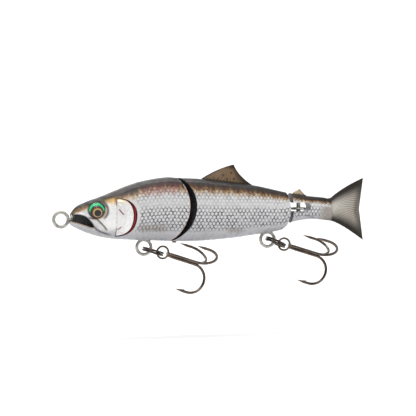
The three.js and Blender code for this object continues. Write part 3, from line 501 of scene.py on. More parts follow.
# ---------- Materials ----------
class Shade:
    def __init__(self, name, **values):
        self.material = bpy.data.materials.new(name)
        self.material.use_nodes = True
        self.tree = self.material.node_tree
        self.bsdf = self.tree.nodes["Principled BSDF"]
        for key, value in values.items():
            self.set(key.replace("_", " ").title().replace("Ior", "IOR"), value)

    def set(self, socket, value):
        target = self.bsdf.inputs[socket]
        if isinstance(value, bpy.types.NodeSocket):
            self.tree.links.new(value, target)
        else:
            target.default_value = value

    def node(self, kind, **props):
        made = self.tree.nodes.new(kind)
        for key, value in props.items():
            setattr(made, key, value)
        return made

    def feed(self, socket, value):
        if isinstance(value, bpy.types.NodeSocket):
            self.tree.links.new(value, socket)
        elif isinstance(value, (int, float)):
            socket.default_value = value
        else:
            socket.default_value = (*value, 1)[:4]

    def math(self, operation, a, b=0.0, clamp=False):
        made = self.node("ShaderNodeMath", operation=operation, use_clamp=clamp)
        self.feed(made.inputs[0], a)
        self.feed(made.inputs[1], b)
        return made.outputs[0]

    def smooth(self, lo, hi, value, out_lo=0.0, out_hi=1.0):
        made = self.node("ShaderNodeMapRange", interpolation_type="SMOOTHSTEP")
        for i, v in enumerate((value, lo, hi, out_lo, out_hi)):
            self.feed(made.inputs[i], v)
        return made.outputs[0]

    def mix(self, share, a, b, blend="MIX"):
        made = self.node("ShaderNodeMix", data_type="RGBA", blend_type=blend)
        self.feed(made.inputs[0], share)
        self.feed(made.inputs[6], a)
        self.feed(made.inputs[7], b)
        return made.outputs[2]

    def place(self):
        return self.node("ShaderNodeTexCoord").outputs["Object"]

    def axis(self, index):
        split = self.node("ShaderNodeSeparateXYZ")
        self.tree.links.new(self.place(), split.inputs[0])
        return self.math("MULTIPLY", split.outputs[index], 1000.0)

    def noise(self, per_mm, detail=3.0, rough=0.55, stretch=(1, 1, 1)):
        shape = self.node("ShaderNodeMapping")
        self.tree.links.new(self.place(), shape.inputs["Vector"])
        shape.inputs["Scale"].default_value = [1000 * per_mm * s for s in stretch]
        made = self.node("ShaderNodeTexNoise")
        self.tree.links.new(shape.outputs[0], made.inputs["Vector"])
        made.inputs["Scale"].default_value = 1.0
        made.inputs["Detail"].default_value = detail
        made.inputs["Roughness"].default_value = rough
        return made.outputs["Fac"]

    def read(self, name):
        return self.node("ShaderNodeAttribute", attribute_name=name)

    def bump(self, height, distance_mm, strength=1.0):
        made = self.node("ShaderNodeBump")
        made.inputs["Strength"].default_value = strength
        made.inputs["Distance"].default_value = distance_mm * MM
        self.feed(made.inputs["Height"], height)
        self.tree.links.new(made.outputs[0], self.bsdf.inputs["Normal"])


def grey(value):
    return (value, value, value, 1)


def skin_material():
    s = Shade("trout_skin", metallic=.08, coat_weight=.12, coat_roughness=.1, specular_ior_level=.35)
    girth = s.read("girth").outputs["Fac"]
    x = s.axis(0)

    def nearest(shift):
        def from_centre(value, size):
            cell = s.math("FRACT", s.math("ADD", s.math("DIVIDE", value, size), 100 + shift))
            return s.math("MULTIPLY", s.math("SUBTRACT", cell, .5), size)
        u, v = from_centre(x, SCALE_X), from_centre(girth, SCALE_G)
        far_edge = s.math("MULTIPLY", s.math("SUBTRACT", SCALE_X / 2, s.math("ABSOLUTE", u)), 1.5)
        return s.math("SQRT", s.math("ADD", s.math("MULTIPLY", u, u), s.math("MULTIPLY", v, v))), far_edge

    (one, one_edge), (two, two_edge) = nearest(0), nearest(.5)
    first = s.math("LESS_THAN", one, two)
    upright = s.math("ADD", s.math("MULTIPLY", first, one_edge),
                     s.math("MULTIPLY", s.math("SUBTRACT", 1, first), two_edge))
    edge = s.math("MINIMUM", s.math("ABSOLUTE", s.math("SUBTRACT", one, two)), upright)
    broken = s.noise(.55, 2)
    line = s.smooth(.3, .8, edge, 1, 0)
    line = s.math("MULTIPLY", line, s.smooth(.36, .62, broken, .45, 1))
    line = s.math("MULTIPLY", line, s.read("net").outputs["Fac"])
    fine = s.noise(3.2, 4)
    paint = s.read("paint").outputs["Color"]
    colour = s.mix(s.math("MULTIPLY", fine, .16), paint, (.45, .43, .42), "MULTIPLY")
    colour = s.mix(s.math("MULTIPLY", line, .9), colour, tuple(rgb("2e2629")))
    speck = s.smooth(.52, .6, s.noise(.95, 4, .7))
    speck = s.math("MULTIPLY", speck, s.read("speckle").outputs["Fac"])
    colour = s.mix(s.math("MULTIPLY", speck, .8), colour, tuple(rgb("2b1d15")))
    s.set("Base Color", colour)
    rough = s.smooth(.3, .7, s.noise(.4, 3), .22, .36)
    s.set("Roughness", s.math("ADD", rough, s.math("MULTIPLY", s.read("matt").outputs["Fac"], .2)))
    s.bump(s.math("SUBTRACT", s.math("MULTIPLY", fine, .25), line), .05, .55)
    return s.material


def plastic(name, dark, light, roughness, per_mm=.5, **more):
    s = Shade(name, **more)
    share = s.noise(per_mm, 4)
    s.set("Base Color", s.mix(s.smooth(.3, .7, share), tuple(rgb(dark)), tuple(rgb(light))))
    s.set("Roughness", s.smooth(.3, .7, s.noise(per_mm * 3, 3), roughness * .8, roughness * 1.2))
    s.bump(s.noise(per_mm * 6, 4), .03, .35)
    return s.material


def metal(name, dark, light, roughness, per_mm=.6, stretch=(1, 1, 1), share=1.0):
    s = Shade(name, metallic=share)
    patches, wear = s.noise(per_mm, 4, .6, stretch), s.noise(per_mm * 5, 4, .6, stretch)
    s.set("Base Color", s.mix(s.smooth(.3, .7, patches), tuple(rgb(dark)), tuple(rgb(light))))
    s.set("Roughness", s.smooth(.3, .72, wear, roughness * .7, roughness * 1.4))
    s.bump(s.noise(per_mm * 8, 3, .5, stretch), .015, .3)
    return s.material


def painted(name, roughness, amount=.14, per_mm=2.0, grain=.3, **more):
    """Paint from the mesh's own colour, with fine mottling."""
    s = Shade(name, **more)
    fine = s.noise(per_mm, 4)
    paint = s.read("paint").outputs["Color"]
    s.set("Base Color", s.mix(s.math("MULTIPLY", fine, amount), paint, (.3, .28, .26), "MULTIPLY"))
    s.set("Roughness", s.smooth(.3, .7, s.noise(per_mm * .5, 3), roughness * .8, roughness * 1.25))
    s.bump(fine, .04, grain)
    return s.material


skin = skin_material()
dark_plastic = plastic("charcoal_plastic", "1f2022", "38393b", .36)
nose_plastic = plastic("nose_plastic", "2c2d30", "4c4d51", .3)
pocket_paint = plastic("gill_pocket", "6a1a1a", "8a2624", .5)
pearl = painted("pearl_paint", .26, .08, grain=.1, metallic=.1, coat_weight=.6, coat_roughness=.06)
gill_red = painted("gill_red", .34, coat_weight=.35)
foil = painted("eye_foil", .45, .05, 4.0)
fin_skin = painted("fin_film", .38, .25, 1.4, transmission_weight=.06, specular_ior_level=.3)
tail_skin = painted("soft_tail", .5, .3, 1.1, specular_ior_level=.25)
chrome = metal("bright_wire", "8f8c86", "c6c3bc", .3, share=.55)
nickel = metal("black_nickel", "2b2725", "5d5148", .2)
bronze = metal("bronze_nickel", "4b433d", "74685e", .2, .12)
lens_shade = Shade("eye_dome")
clear = lens_shade.node("ShaderNodeBsdfTransparent")
gloss = lens_shade.node("ShaderNodeBsdfGlossy")
rim_share = lens_shade.node("ShaderNodeFresnel")
both = lens_shade.node("ShaderNodeMixShader")
rim_share.inputs["IOR"].default_value = 1.42
lens_shade.feed(gloss.inputs["Roughness"], lens_shade.smooth(.35, .75, lens_shade.noise(1.2, 3), .015, .05))
inside_face = lens_shade.node("ShaderNodeNewGeometry").outputs["Backfacing"]
front_only = lens_shade.math("SUBTRACT", .8, inside_face, True)
lens_shade.feed(both.inputs[0], lens_shade.math("MULTIPLY", rim_share.outputs[0], front_only))
lens_shade.tree.links.new(clear.outputs[0], both.inputs[1])
lens_shade.tree.links.new(gloss.outputs[0], both.inputs[2])
lens_shade.tree.links.new(both.outputs[0], lens_shade.tree.nodes["Material Output"].inputs["Surface"])
lens = lens_shade.material
steel = metal("dark_pin", "3c3b3a", "77736e", .25)


def dress(obj, body, slot, replaced, extra=None):
    """Paints a piece of skin; what lies deeper than the skin is bare plastic."""
    mesh = obj.data
    facts = section_facts(points_of(mesh))
    for name, values in trout(facts).items():
        attribute(mesh, name, values)
    centre = np.empty(len(mesh.polygons) * 3)
    mesh.polygons.foreach_get("center", centre)
    inner = section_facts(centre.reshape(-1, 3))
    index = (inner["depth"] > .36).astype(int)
    gill = (index > 0) & (inner["x"] > 27) & (inner["x"] < 39) & (np.abs(inner["y"]) > 2)
    index[gill & (inner["x"] > 29.5)] = 2
    index[gill & (inner["x"] <= 29.5)] = 0
    return done(obj, body, [skin, dark_plastic, pocket_paint], slot, *replaced, angle=35,
                material_of_face=index)


fine = 1.0


# ---------- Front section ----------
def rim_outline(gap):
    arc = [(RIM_X + (RIM_R + gap) * math.cos(t), RIM_Z + (RIM_R + gap) * math.sin(t))
           for t in np.linspace(-math.pi / 2, math.pi / 2, 90)]
    return [(-FAR, -FAR), (RIM_X, -FAR)] + arc + [(RIM_X, FAR), (-FAR, FAR)]


def nose_profile(gap, below):
    profile = [(0.001, -11.3 - below), (max(half_width(FRONT_PIN_X, -11.3) - 1.7, 1.6) + gap, -11.3 - below)]
    for z in np.linspace(-11.3, 17.5, 34):
        profile.append((max(half_width(FRONT_PIN_X, z) - 1.7, 1.6) + gap, z))
    profile[-1] = (profile[-1][0], 17.5 + gap)
    profile.append((0.001, 17.5 + gap))
    return [(float(r), float(h)) for r, h in profile]


def one_side(side, near):
    """The range of y from near the middle of the fish to far outside it, on one side."""
    return sorted((side * near, side * FAR))


POCKET = (27.3, 38.1, 10.6, -8.9)
COVER = (27.75, 36.1, 10.3, -8.3)
HINGE_R, HINGE_LUGS, HINGE_BARREL = .7, ((3.4, 6.8), (-4.6, -1.5)), (-1.3, 3.2)

front = loft("front_skin", BODY_START, 70.1, .36 * fine, int(256 / fine), relieved=True)
boolean(front, [prism("rim", rim_outline(0), -FAR, FAR)], "INTERSECT")
cuts = [lathe("cup", nose_profile(.4, 50), 72, (FRONT_PIN_X, 0, 0))]
mouth_cut = prism("mouth", [(0, 2)] + MOUTH + [(0, -.4)], -FAR, FAR)
boolean(mouth_cut, [block("core", (6.6, -2.4, -FAR), (FAR, 2.4, FAR))])
cuts.append(mouth_cut)
for side in (-1, 1):
    pocket = prism("pocket", gill_outline(*POCKET), *one_side(side, 2))
    boolean(pocket, [loft("floor", 24, 41, 1, 64, 3.4)])
    cuts.append(pocket)


def skin_frame(x, z, side):
    def point(px, pz):
        return Vector((px, side * float(half_width(px, pz)), pz))
    along, up = point(x + .5, z) - point(x - .5, z), point(x, z + .5) - point(x, z - .5)
    return point(x, z), (along.cross(up) * -side).normalized()


eye_frames = {side: skin_frame(EYE_X, EYE_Z, side) for side in (-1, 1)}
for side, (place, out) in eye_frames.items():
    socket = [(.001, 0), (EYE_R + .22, 0), (EYE_R + .3, 8), (.001, 8)]
    cuts.append(lathe("socket", socket, 72, place - out * 1.9, out))
boolean(front, cuts)


def hinge_bars(side, spans):
    return [rod("bar", HINGE_R, z0, z1, 32, GILL_X, side * GILL_Y) for z0, z1 in spans]


boolean(front, hinge_bars(-1, HINGE_LUGS) + hinge_bars(1, HINGE_LUGS), "UNION")
dress(front, "front_section", "painted_shell", ("head_shell_left", "head_shell_right"))

for label, side in (("left", -1), ("right", 1)):
    place, out = eye_frames[side]
    # Foil disc: rings of points with the printed eye.
    rows, columns = 44, 120
    r = np.linspace(.001, 1, rows)
    t = np.linspace(0, 2 * math.pi, columns, endpoint=False)
    along = Vector((1, 0, 0)) - out * out.x
    along.normalize()
    up = out.cross(along) * (1 if out.cross(along).z > 0 else -1)
    base = np.array(place - out * 1.6)
    u, v = r[:, None] * np.cos(t), r[:, None] * np.sin(t)
    rings = base + EYE_R * (u[..., None] * np.array(along) + v[..., None] * np.array(up)) + .5 * np.array(out)
    edge = rings[-1] - .5 * np.array(out)
    under = base + .001 * (edge - base)
    disc = solid("eye_foil_" + label, *tube_mesh(np.concatenate([rings, [edge, under]])))
    p = points_of(disc.data) - base
    u, v = p @ np.array(along) / EYE_R, p @ np.array(up) / EYE_R

    def inside(cx, cy, radius, soft=.035):
        return 1 - step(radius - soft, radius + soft, np.hypot(u - cx, v - cy))
    angle = np.arctan2(v + .26, u - .08)
    colour = np.tile(rgb("24d987"), (len(p), 1))
    colour = layers(colour, [
        ("129a5c", step(.88, 1.0, np.hypot(u, v))),
        ("15120f", 1 - step(-.25, .05, v)),
        ("14161f", inside(.02, -.15, .80)),
        ("5a2e12", inside(.08, -.25, .66)),
        ("c27a2a", inside(.09, -.27, .60) * (.75 + .25 * np.sin(9 * angle))),
        ("d9c486", inside(.11, -.32, .52, .03)),
        ("3a3014", inside(.12, -.35, .455, .03)),
        ("07070a", inside(.13, -.37, .415, .03)),
    ])
    attribute(disc.data, "paint", colour)
    done(disc, "front_section", foil, "iris_foil", "eye_disc_" + label)
    dome = [(.001, 0), (EYE_R - .02, 0)]
    dome += [((EYE_R - .02) * math.cos(a), .4 + 1.5 * math.sin(a)) for a in np.linspace(0, math.pi / 2, 26)]
    dome[-1] = (.001, 1.9)
    done(lathe("eye_dome_" + label, dome, 96, place - out * 1.0, out), "front_section", lens, "clear_lens",
         "eye_lens_" + label, angle=50)

    def ridged(f):
        radius = np.hypot(f["x"] - GILL_RIDGE_X, f["z"] - GILL_MID)
        crests = np.cos(2 * math.pi * (radius - GILL_RIDGE_R) / GILL_RIDGE_PITCH)
        ridge = .55 * (.5 + .5 * crests) ** 1.4 * (radius < 14.6)
        outline = gill_outline(*COVER)
        bare = f["x"] - np.interp(-f["z"], [-q[1] for q in outline], [q[0] for q in outline])
        return ridge + 1.15 * step(.15, .9, bare)
    insert = loft("gill_insert_" + label, 29.4, 38.6, .2 * fine, int(220 / fine), 2.75, bulge=ridged)
    boolean(insert, [prism("edge", gill_outline(29.4, 38.0, 10.5, -8.8), *one_side(side, 2.2))], "INTERSECT")
    boolean(insert, [loft("under", 24, 41, 1, 64, 3.35)])
    f = section_facts(points_of(insert.data))
    radius = np.hypot(f["x"] - GILL_RIDGE_X, f["z"] - GILL_MID)
    crest = np.cos(2 * math.pi * (radius - GILL_RIDGE_R) / GILL_RIDGE_PITCH)
    # Lighter red on the ridge crests is a painted highlight; darker red in the troughs ahead of x = 36 is
    # painted shade.
    colour = layer(np.tile(rgb("98191c"), (len(f["x"]), 1)), "b3393a", .55 * step(.2, 1, crest))
    colour = layer(colour, "4c0a0b", .8 * (1 - step(-1, -.3, crest)) * (f["x"] < 36))
    # Brownish dark red along the rear edge: painted shade from the pocket's rear wall.
    colour = layer(colour, "5c2a2e", .7 * step(37.2, 37.9, f["x"] + .02 * (f["z"] - GILL_MID) ** 2))
    attribute(insert.data, "paint", colour)
    done(insert, "front_section", gill_red, "gill_red", "gill_insert_" + label)

    def cheek(f):
        x, z = f["x"], f["z"]
        slits = np.minimum(*[polyline_distance(x, z, slit) for slit in SLITS])
        edge_line = polyline_distance(x, z, gill_outline(27.6, 34.9, 8.9, -7.0))
        return (.13 * bump(polyline_distance(x, z, OPERCLE), 0, .5) - .16 * bump(slits, 0, .3)
                + .08 * bump(edge_line, 0, .35) - .06 * bump(edge_line, .9, .4)
                - .4 * (1 - step(27.7, 28.4, x)))
    cover = loft("gill_cover_" + label, 26, 38, .2 * fine, int(240 / fine), 0, bulge=cheek)
    boolean(cover, [prism("edge", gill_outline(*COVER), *one_side(side, 3.6))], "INTERSECT")
    boolean(cover, [loft("under", 24, 41, 1, 96, 1.25)])
    boolean(cover, hinge_bars(side, [HINGE_BARREL]), "UNION")
    f = section_facts(points_of(cover.data))
    x, z = f["x"], f["z"]
    colour = np.tile(rgb("f1f0ee"), (len(x), 1))
    colour = layers(colour, [
        # Light grey a millimetre from the opercle ridge: painted shade beside the ridge.
        ("dcdcdd", .7 * bump(polyline_distance(x, z, OPERCLE), 1.0, .8)),
        # Greyer towards the bottom: painted shade under the head.
        ("cfcfd0", .7 * (1 - step(-8.5, -4.5, z))),
        ("dcb26a", .6 * step(7.2, 10, z)),
        ("4a3b2c", .9 * step(9.9, 10.9, z + .06 * (x - 29))),
    ])
    slits = np.minimum(*[polyline_distance(x, z, slit) for slit in SLITS])
    colour = layers(colour, [
        ("8d2427", 1 - step(.18, .42, slits)),
        ("e9b7ae", .5 * bump(polyline_distance(x, z, [(28.3, -6.6), (31.5, -7.2)]), 0, .3)),
        ("6b1a1a", step(.5, .9, f["depth"]) * step(29.2, 30.2, x)),
    ])
    attribute(cover.data, "paint", colour)
    done(cover, label + "_gill", pearl, "gill_cover_paint", "gill_cover_" + label, angle=50)
    # Ribbed dark lining of the mouth.
    ribs = []
    for k in range(11):
        x0 = 5.6 + k * .95
        top, low = 2.5 - .1 * k, -1.2 - .3 * k
        path = [(x0, side * 2.5, top), (x0 + .35, side * 2.62, (top + low) / 2), (x0 + .9, side * 2.5, low)]
        ribs.append(tube("rib", path, .33, 10))
    lining = join("mouth_ribs_" + label, ribs)
    done(lining, "front_section", dark_plastic, "painted_shell")


# ---------- Wire fittings ----------
def ring(name, centre, radius, wire, normal="y", steps=96, sides=18):
    t = np.linspace(0, 2 * math.pi, steps, endpoint=False)
    c, s, o = radius * np.cos(t), radius * np.sin(t), np.zeros(steps)
    path = {"y": (c, o, s), "z": (c, s, o)}[normal]
    return tube(name, np.stack(path, 1) + np.array(centre), wire, sides, True)


def eye_bolt(name, centre, radius, wire, to, normal):
    """A closed wire ring with a straight shank running from its edge."""
    loop = ring(name + "_loop", centre, radius, wire, normal)
    way = np.array(to, float) - np.array(centre, float)
    way /= np.linalg.norm(way)
    neck = np.array(centre) + way * radius
    shank = tube(name + "_shank", [neck, (neck + np.array(to)) / 2, to], wire, 16)
    return join(name, [loop, shank])


HANGERS = {"front": (43.7, 0, -14.793), "rear": (111.0, 0, -11.657)}
FITTINGS = [("tie_ring", (0, 0, 0), 3.75, .9, (18.6, 0, 0), "y", "front_section", "line_tie")]
for label, centre in HANGERS.items():
    body = "front_section" if label == "front" else "middle_section"
    FITTINGS.append(("hanger_" + label, centre, 3.8, .85, (centre[0], 0, centre[2] + 10.6), "y", body,
                     label + "_hanger"))
for label, height in (("upper", 11.5), ("lower", -4.0)):
    FITTINGS.append(("front_eye_" + label, (FRONT_PIN_X, 0, height), 3.3, .65, (47.9, 0, height), "z",
                     "front_section", "front_joint_eye_" + label))
FITTINGS.append(("tail_eye", (TAIL_PIN_X, 0, 4.5), 3.3, .65, (116.2, 0, 4.5), "z", "middle_section",
                 "tail_joint_eye"))
for name, centre, radius, wire, to, normal, body, node in FITTINGS:
    done(eye_bolt(name, centre, radius, wire, to, normal), body, chrome, "steel", node)


def pin(name, x, low, high, radius, material, body, slot, node):
    profile = [(.001, low), (radius - .12, low), (radius, low + .12)]
    profile += [(radius, z) for z in np.linspace(low + .3, high - .3, 8)]
    profile += [(radius, high - .12), (radius - .12, high), (.001, high)]
    done(lathe(name, profile, 40, (x, 0, 0)), body, material, slot, node, angle=30)


# ---------- Middle section ----------
middle = loft("middle_skin", 54, 124, .36 * fine, int(256 / fine), relieved=True)
rear_edge = [(MIDDLE_REAR_X - (z - 4) ** 2 / 62, z) for z in np.linspace(-16, 24, 60)]
boolean(middle, [prism("rear", [(30, -16)] + rear_edge + [(30, 24)], -FAR, FAR)], "INTERSECT")
cuts = []
for turn in (-18, 0, 18):
    zone = prism("zone", rim_outline(.4), -FAR, FAR)
    pivot = Matrix.Translation((FRONT_PIN_X, 0, 0))
    cuts.append(moved(zone, pivot @ Matrix.Rotation(math.radians(turn), 4, "Z") @ pivot.inverted()))


def fin_groove(front_x, rear_x, root, half):
    """The groove in the back that holds the root of a fin."""
    front_z, rear_z = float(back_at(front_x)) - root, float(back_at(rear_x)) - root
    return prism("groove", [(front_x, FAR), (front_x, front_z), (rear_x, rear_z), (rear_x, FAR)], -half, half)


cuts.append(fin_groove(74.2, 102.9, 2.4, .78))
boolean(middle, cuts)
dress(middle, "middle_section", "painted_shell", ("middle_shell_left", "middle_shell_right"))

nose = lathe("middle_nose", nose_profile(0, 0), 96, (FRONT_PIN_X, 0, 0))
slots = [block("slot", (40, -FAR, z - 1.25), (FRONT_PIN_X + 4.55, FAR, z + 1.25)) for z in (11.5, -4.0)]
bore = rod("bore", 1.4, -30, 15.5, 40, FRONT_PIN_X)
boolean(nose, slots + [bore])
done(nose, "middle_section", nose_plastic, "painted_shell", angle=30)
pin("front_pin", FRONT_PIN_X, float(belly_at(FRONT_PIN_X)) - .7, 15.2, 1.1, steel, "middle_section",
    "dark_pin", "front_joint_pin")

# ---------- Tail section ----------
tail = loft("tail_skin", TAIL_FRONT_X - 1.5, TAIL_REAR_X, .3 * fine, int(200 / fine), relieved=True)
front_edge = [(TAIL_FRONT_X - .6 * (z - 4) ** 2 / 62, z) for z in np.linspace(-12, 20, 50)]
SLOT_X, SLOT_Z, SLOT_R = 131.55, 5.35, 2.35
slot_end = [(SLOT_X + SLOT_R * math.sin(a), SLOT_Z - SLOT_R * math.cos(a))
            for a in np.linspace(0, math.pi, 30)]
slot_outline = [(118, 3), (SLOT_X, 3)] + slot_end[1:-1] + [(SLOT_X, 7.7), (118, 7.7)]
fin_root = block("root", (137.2, -1.1, 1), (152, 1.1, 8))
tail_bore = rod("bore", 1.35, .5, 10.2, 40, TAIL_PIN_X)
boolean(tail, [prism("front", [(100, 20)] + front_edge[::-1] + [(100, -12)], -FAR, FAR),
               prism("slot", slot_outline, -FAR, FAR), fin_root, tail_bore, fin_groove(124.5, 133.3, 1.7, .68)])
dress(tail, "tail_section", "painted_shell", ("tail_shell_left", "tail_shell_right"))
pin("tail_pin", TAIL_PIN_X, .8, 9.9, 1.1, chrome, "tail_section", "steel", "tail_joint_pin")


# ---------- Fins ----------
def fin(name, lead, trail, thickness, ray, rows=40, columns=120):
    """A blade between a leading and a trailing edge that meet at the tip; rays run along the edges."""
    v = np.linspace(0, 1, rows)
    lead, trail = np.array(lead), np.array(trail)
    def along(line):
        t = np.linspace(0, 1, len(line))
        return np.stack([np.interp(v, t, line[:, 0]), np.interp(v, t, line[:, 1])], 1)
    a, b = along(lead), along(trail)
    u = np.linspace(0, 1, columns)
    flat = a[:, None] * (1 - u)[None, :, None] + b[:, None] * u[None, :, None]
    edge = np.clip(np.minimum(u, 1 - u) * 14, .12, 1) ** .5
    half = thickness / 2 * (1 - .68 * v[:, None]) * edge[None]
    half = half * (1 + .3 * ray(u[None], v[:, None]))
    left = np.stack([flat[..., 0], -half, flat[..., 1]], 2)
    right = np.stack([flat[..., 0], half, flat[..., 1]], 2)
    rings = np.concatenate([left, right[:, ::-1]], 1)
    obj = solid(name, *tube_mesh(rings))
    uu = np.concatenate([np.tile(np.concatenate([u, u[::-1]]), rows), [.5, .5]])
    vv = np.concatenate([np.repeat(v, 2 * columns), [0, 1]])
    return obj, uu, vv


def back_fin(name, body, node, front_x, rear_x, tip_x, rise, thickness, root, count, colours, spots_at):
    tip = (tip_x, float(back_at(tip_x)) + rise)
    base = (front_x, float(back_at(front_x)))
    heel = (rear_x, float(back_at(rear_x)))
    lead = [(front_x, base[1] - root)] + quadratic(base, ((front_x + tip_x) / 2, tip[1] - .2 * rise), tip, 24)
    knee = (tip_x + .25 * (rear_x - tip_x), float(back_at(tip_x)) + .35 * rise)
    trail = [(rear_x, heel[1] - root)] + quadratic(heel, knee, tip, 24)
    obj, u, v = fin(name, lead, trail, thickness, lambda a, b: np.cos(2 * math.pi * count * a) * (b < .97))
    body_tone, dark, tip_tone = colours
    colour = np.tile(rgb(body_tone), (len(u), 1))
    colour = layers(colour, [
        (dark, .45 * (.5 - .5 * np.cos(2 * math.pi * count * u))),
        (tip_tone, .9 * step(.6, .93, v)),
        (tip_tone, .85 * (step(.62, .97, u) + 1 - step(.01, .1, u)) * (v > .05)),
        ("2e2520", .9 * (1 - step(.04, .13, v))),
    ])
    p = points_of(obj.data)
    for sx, sz, rx in spots_at:
        colour = layer(colour, "3d2c24", .75 * (1 - step(.6, 1.2, np.hypot(p[:, 0] - sx, p[:, 2] - sz) / rx)))
    attribute(obj.data, "paint", colour)
    done(obj, body, fin_skin, "fin_film", node, angle=60)


back_fin("dorsal", "middle_section", "dorsal_fin", 74.5, 102.6, 92.3, 9.4, 1.2, 2.2, 15,
         ("94795c", "48372a", "17110e"),
         [(83.5, 20.6, .7), (86.5, 22.4, .8), (88.5, 20.2, .7), (91, 23.6, .7), (92.4, 20.4, .7),
          (81.5, 20.9, .5)])
back_fin("adipose", "tail_section", "adipose_fin", 124.8, 133, 129.2, 3.1, 1.0, 1.5, 6,
         ("d8c6a8", "b8946c", "7d5637"), [(128.4, 12.0, .5)])

rows, columns = 70, 200
s, t = np.linspace(0, 1, columns), np.linspace(0, 1, rows)
low, high = np.array((144.6, -2.0)), np.array((144.6, 9.6))
first, last = np.array((146.7, -2.3)), np.array((146.7, 10.1))
edge_low = quadratic((164.9, -12.8), (163.1, -5.3), (160.7, 2.7), 60)
edge_high = quadratic((160.7, 2.7), (161.7, 10.7), (164.9, 20.6), 60)[1:]
edge = np.array(edge_low + edge_high)
length = np.concatenate([[0], np.cumsum(np.hypot(*np.diff(edge, axis=0).T))])
length /= length[-1]
rear = np.stack([np.interp(s, length, edge[:, 0]), np.interp(s, length, edge[:, 1])], 1)
root_line = first[None] * (1 - s)[:, None] + last[None] * s[:, None]
control = np.stack([152 + s, -3.5 * (1 - s) + 15.5 * s], 1)
tt = t[:, None, None]
flat = (1 - tt) ** 2 * root_line + 2 * tt * (1 - tt) * control + tt ** 2 * rear
flat[0] = low * (1 - s)[:, None] + high * s[:, None]
flat[1] = root_line
rays = np.cos(2 * math.pi * 26 * s)[None] * (.25 + .75 * t[:, None])
half = (.8 - .52 * t[:, None]) * np.clip(np.minimum(s, 1 - s) * 18, .15, 1) ** .5
half = half * (1 + .2 * rays)
left = np.stack([flat[..., 0], -half, flat[..., 1]], 2)
right = np.stack([flat[..., 0], half, flat[..., 1]], 2)
tail_fin = solid("tail_fin_blade", *tube_mesh(np.concatenate([left, right[:, ::-1]], 1)))
ss = np.concatenate([np.tile(np.concatenate([s, s[::-1]]), rows), [.5, .5]])
vv = np.concatenate([np.repeat(t, 2 * columns), [0, 1]])
colour = np.tile(rgb("b3aca1"), (len(ss), 1))
colour = layers(colour, [
    ("dedad2", .85 * bump(ss, .56, .2) * (1 - step(.3, 1, vv))),
    ("5f564c", .7 * (.5 - .5 * np.cos(2 * math.pi * 26 * ss)) ** 2 * step(.05, .4, vv)),
    ("1c1511", .97 * (step(.66, .92, ss) + 1 - step(.06, .36, ss)).clip(0, 1)),
    ("3c332c", .6 * step(.84, 1, vv)),
])
attribute(tail_fin.data, "paint", colour)
done(tail_fin, "tail_section", tail_skin, "soft_tail", "tail_fin", angle=60)


# ---------- Split rings and trebles ----------
SETS = {"front": ((48.468, 0, -17.043), 17, (53.787, 0, -17.692), 18, 4),
        "rear": ((115.542, 0, -13.212), 24, (120.284, 0, -14.418), 17.4, -4)}


def one_hook():
    start, shank, bend, offset = 2.4, 18.9, 7.6, .85
    path = [(a, 0, offset * (.78 + .22 * min(1, (a - start) / 4))) for a in np.linspace(start, shank, 26)]
    path += [(shank + bend * math.cos(a), 0, offset + bend * (1 + math.sin(a)))
             for a in np.linspace(-math.pi / 2, math.pi / 2, 44)[1:]]
    tip_x = shank - 6.8
    path += [(x, 0, offset + 2 * bend) for x in np.linspace(shank, tip_x, 26)[1:]]
    path = np.array(path)
    gone = np.concatenate([[0], np.cumsum(np.linalg.norm(np.diff(path, axis=0), axis=1))])
    left = gone[-1] - gone
    radius = .75 * np.clip(left / 4.2, .03, 1) ** .8
    wire = tube("hook", path, radius, 16)
    out = offset + 2 * bend
    barb = [(shank - 2.3, 0, out - .5), (shank - 1.9, 0, out - .85), (shank - 1.2, 0, out - 1.25)]
    spike = tube("barb", [(shank - 3.4, 0, out - .35)] + barb, [.42, .36, .22, .03], 10)
    return join("hook", [wire, spike])


def turned(place, *turns):
    """A matrix for a place and turns about axes in degrees, the last one done first."""
    matrix = Matrix.Translation(place)
    for degrees, axis in turns:
        matrix = matrix @ Matrix.Rotation(math.radians(degrees), 4, axis)
    return matrix


for label, (centre, tilt, eye, pitch, yaw) in SETS.items():
    angle = np.radians(np.linspace(30, 690, 300))
    level = step(325, 395, np.degrees(angle)) - .5
    path = np.stack([5.3 * np.cos(angle), 5.3 * np.sin(angle), 1.2 * level], 1)
    fade = np.clip(np.minimum(np.arange(300), 299 - np.arange(300)) / 5, .45, 1)
    split_ring = moved(tube("ring_" + label, path, .55 * fade, 14), turned(centre, (tilt, "Y"), (90, "Z")))
    done(split_ring, label + "_ring", nickel, "black_nickel", "split_ring_" + label)
    parts = [moved(one_hook(), Matrix.Rotation(math.radians(turn), 4, "X")) for turn in (180, 300, 420)]
    parts.append(ring("eye", (0, 0, 0), 3.15, .55, "y", 80, 14))
    whole = moved(join("hooks_" + label, parts), turned(eye, (yaw, "Z"), (pitch, "Y")))
    done(whole, label + "_treble", bronze, "black_nickel", "treble_" + label)


for name, look in (("gill_pin_left", steel), ("gill_pin_right", steel), ("tail_fin_pin", steel),
                   ("front_ballast", nickel), ("rear_ballast", nickel)):
    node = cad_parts[name]
    node.data.materials.clear()
    node.data.materials.append(look)

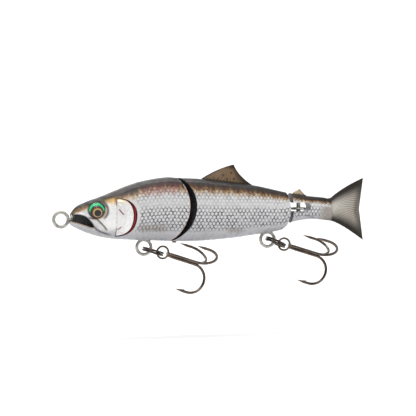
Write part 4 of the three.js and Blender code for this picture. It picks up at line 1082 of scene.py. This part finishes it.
# ---------- Stage ----------
scene = bpy.context.scene
sweep = [(-2.5, -.0605), (.6, -.0605)] + [(.6 + .8 * math.sin(t), .7395 - .8 * math.cos(t))
                                         for t in np.linspace(0, math.pi / 2, 24)[1:]] + [(1.4, 2.4)]
low = [(y + (.02 if y > 1.3 else 0), z - .02) for y, z in sweep]
outline = sweep + low[::-1]
floor = solid("floor", [(x, y, z) for x in (-3, 3) for y, z in outline], prism_faces(len(outline)))
floor.data.polygons.foreach_set("use_smooth", np.ones(len(floor.data.polygons), bool))
floor.data.set_sharp_from_angle(angle=math.radians(30))
floor_paint = Shade("floor_paint", roughness=.8)
floor_paint.set("Base Color", floor_paint.mix(floor_paint.noise(.05, 4), (.88, .88, .89), (.92, .92, .92)))
floor.data.materials.append(floor_paint.material)

world = bpy.data.worlds.new("studio")
scene.world = world
world.use_nodes = True
sky = world.node_tree
sky_place = sky.nodes.new("ShaderNodeTexCoord")
sky_split = sky.nodes.new("ShaderNodeSeparateXYZ")
sky_ramp = sky.nodes.new("ShaderNodeValToRGB")
sky.links.new(sky_place.outputs["Generated"], sky_split.inputs[0])
sky.links.new(sky_split.outputs[2], sky_ramp.inputs[0])
sky_ramp.color_ramp.elements[0].position, sky_ramp.color_ramp.elements[0].color = 0.0, grey(.3)
sky_ramp.color_ramp.elements[1].position, sky_ramp.color_ramp.elements[1].color = .75, grey(.95)
sky.links.new(sky_ramp.outputs[0], sky.nodes["Background"].inputs["Color"])
sky.nodes["Background"].inputs["Strength"].default_value = .6
scene.view_settings.view_transform = "Standard"


def lamp(name, place, size, power, target=(.08, 0, .0)):
    data = bpy.data.lights.new(name, "AREA")
    data.energy, data.size, data.shape = power, size, "SQUARE"
    obj = bpy.data.objects.new(name, data)
    obj.location = place
    obj.rotation_mode = "QUATERNION"
    obj.rotation_quaternion = (Vector(target) - Vector(place)).to_track_quat("-Z", "Y")
    scene.collection.objects.link(obj)


lamp("key", (-.15, -.5, .75), .45, 3.6)
lamp("fill", (.6, -.5, .25), .5, .7)
lamp("rim", (.1, .6, .5), .4, 1.0)
lamp("backdrop", (.1, .35, 1.2), .9, 16, (.1, 1.4, .25))

camera = bpy.data.objects.new("camera", bpy.data.cameras.new("camera"))
scene.collection.objects.link(camera)
scene.camera = camera
camera.data.lens, camera.data.sensor_width = 150, 36
azimuth, elevation, distance = math.radians(-16), math.radians(2), .908
target = Vector((.0783, 0, .0052))
level = math.cos(elevation)
back = Vector((math.sin(azimuth) * level, -math.cos(azimuth) * level, math.sin(elevation)))
camera.location = target + back * distance
camera.rotation_mode = "QUATERNION"
camera.rotation_quaternion = (-back).to_track_quat("-Z", "Y")
camera.data.clip_start, camera.data.clip_end = .05, 20
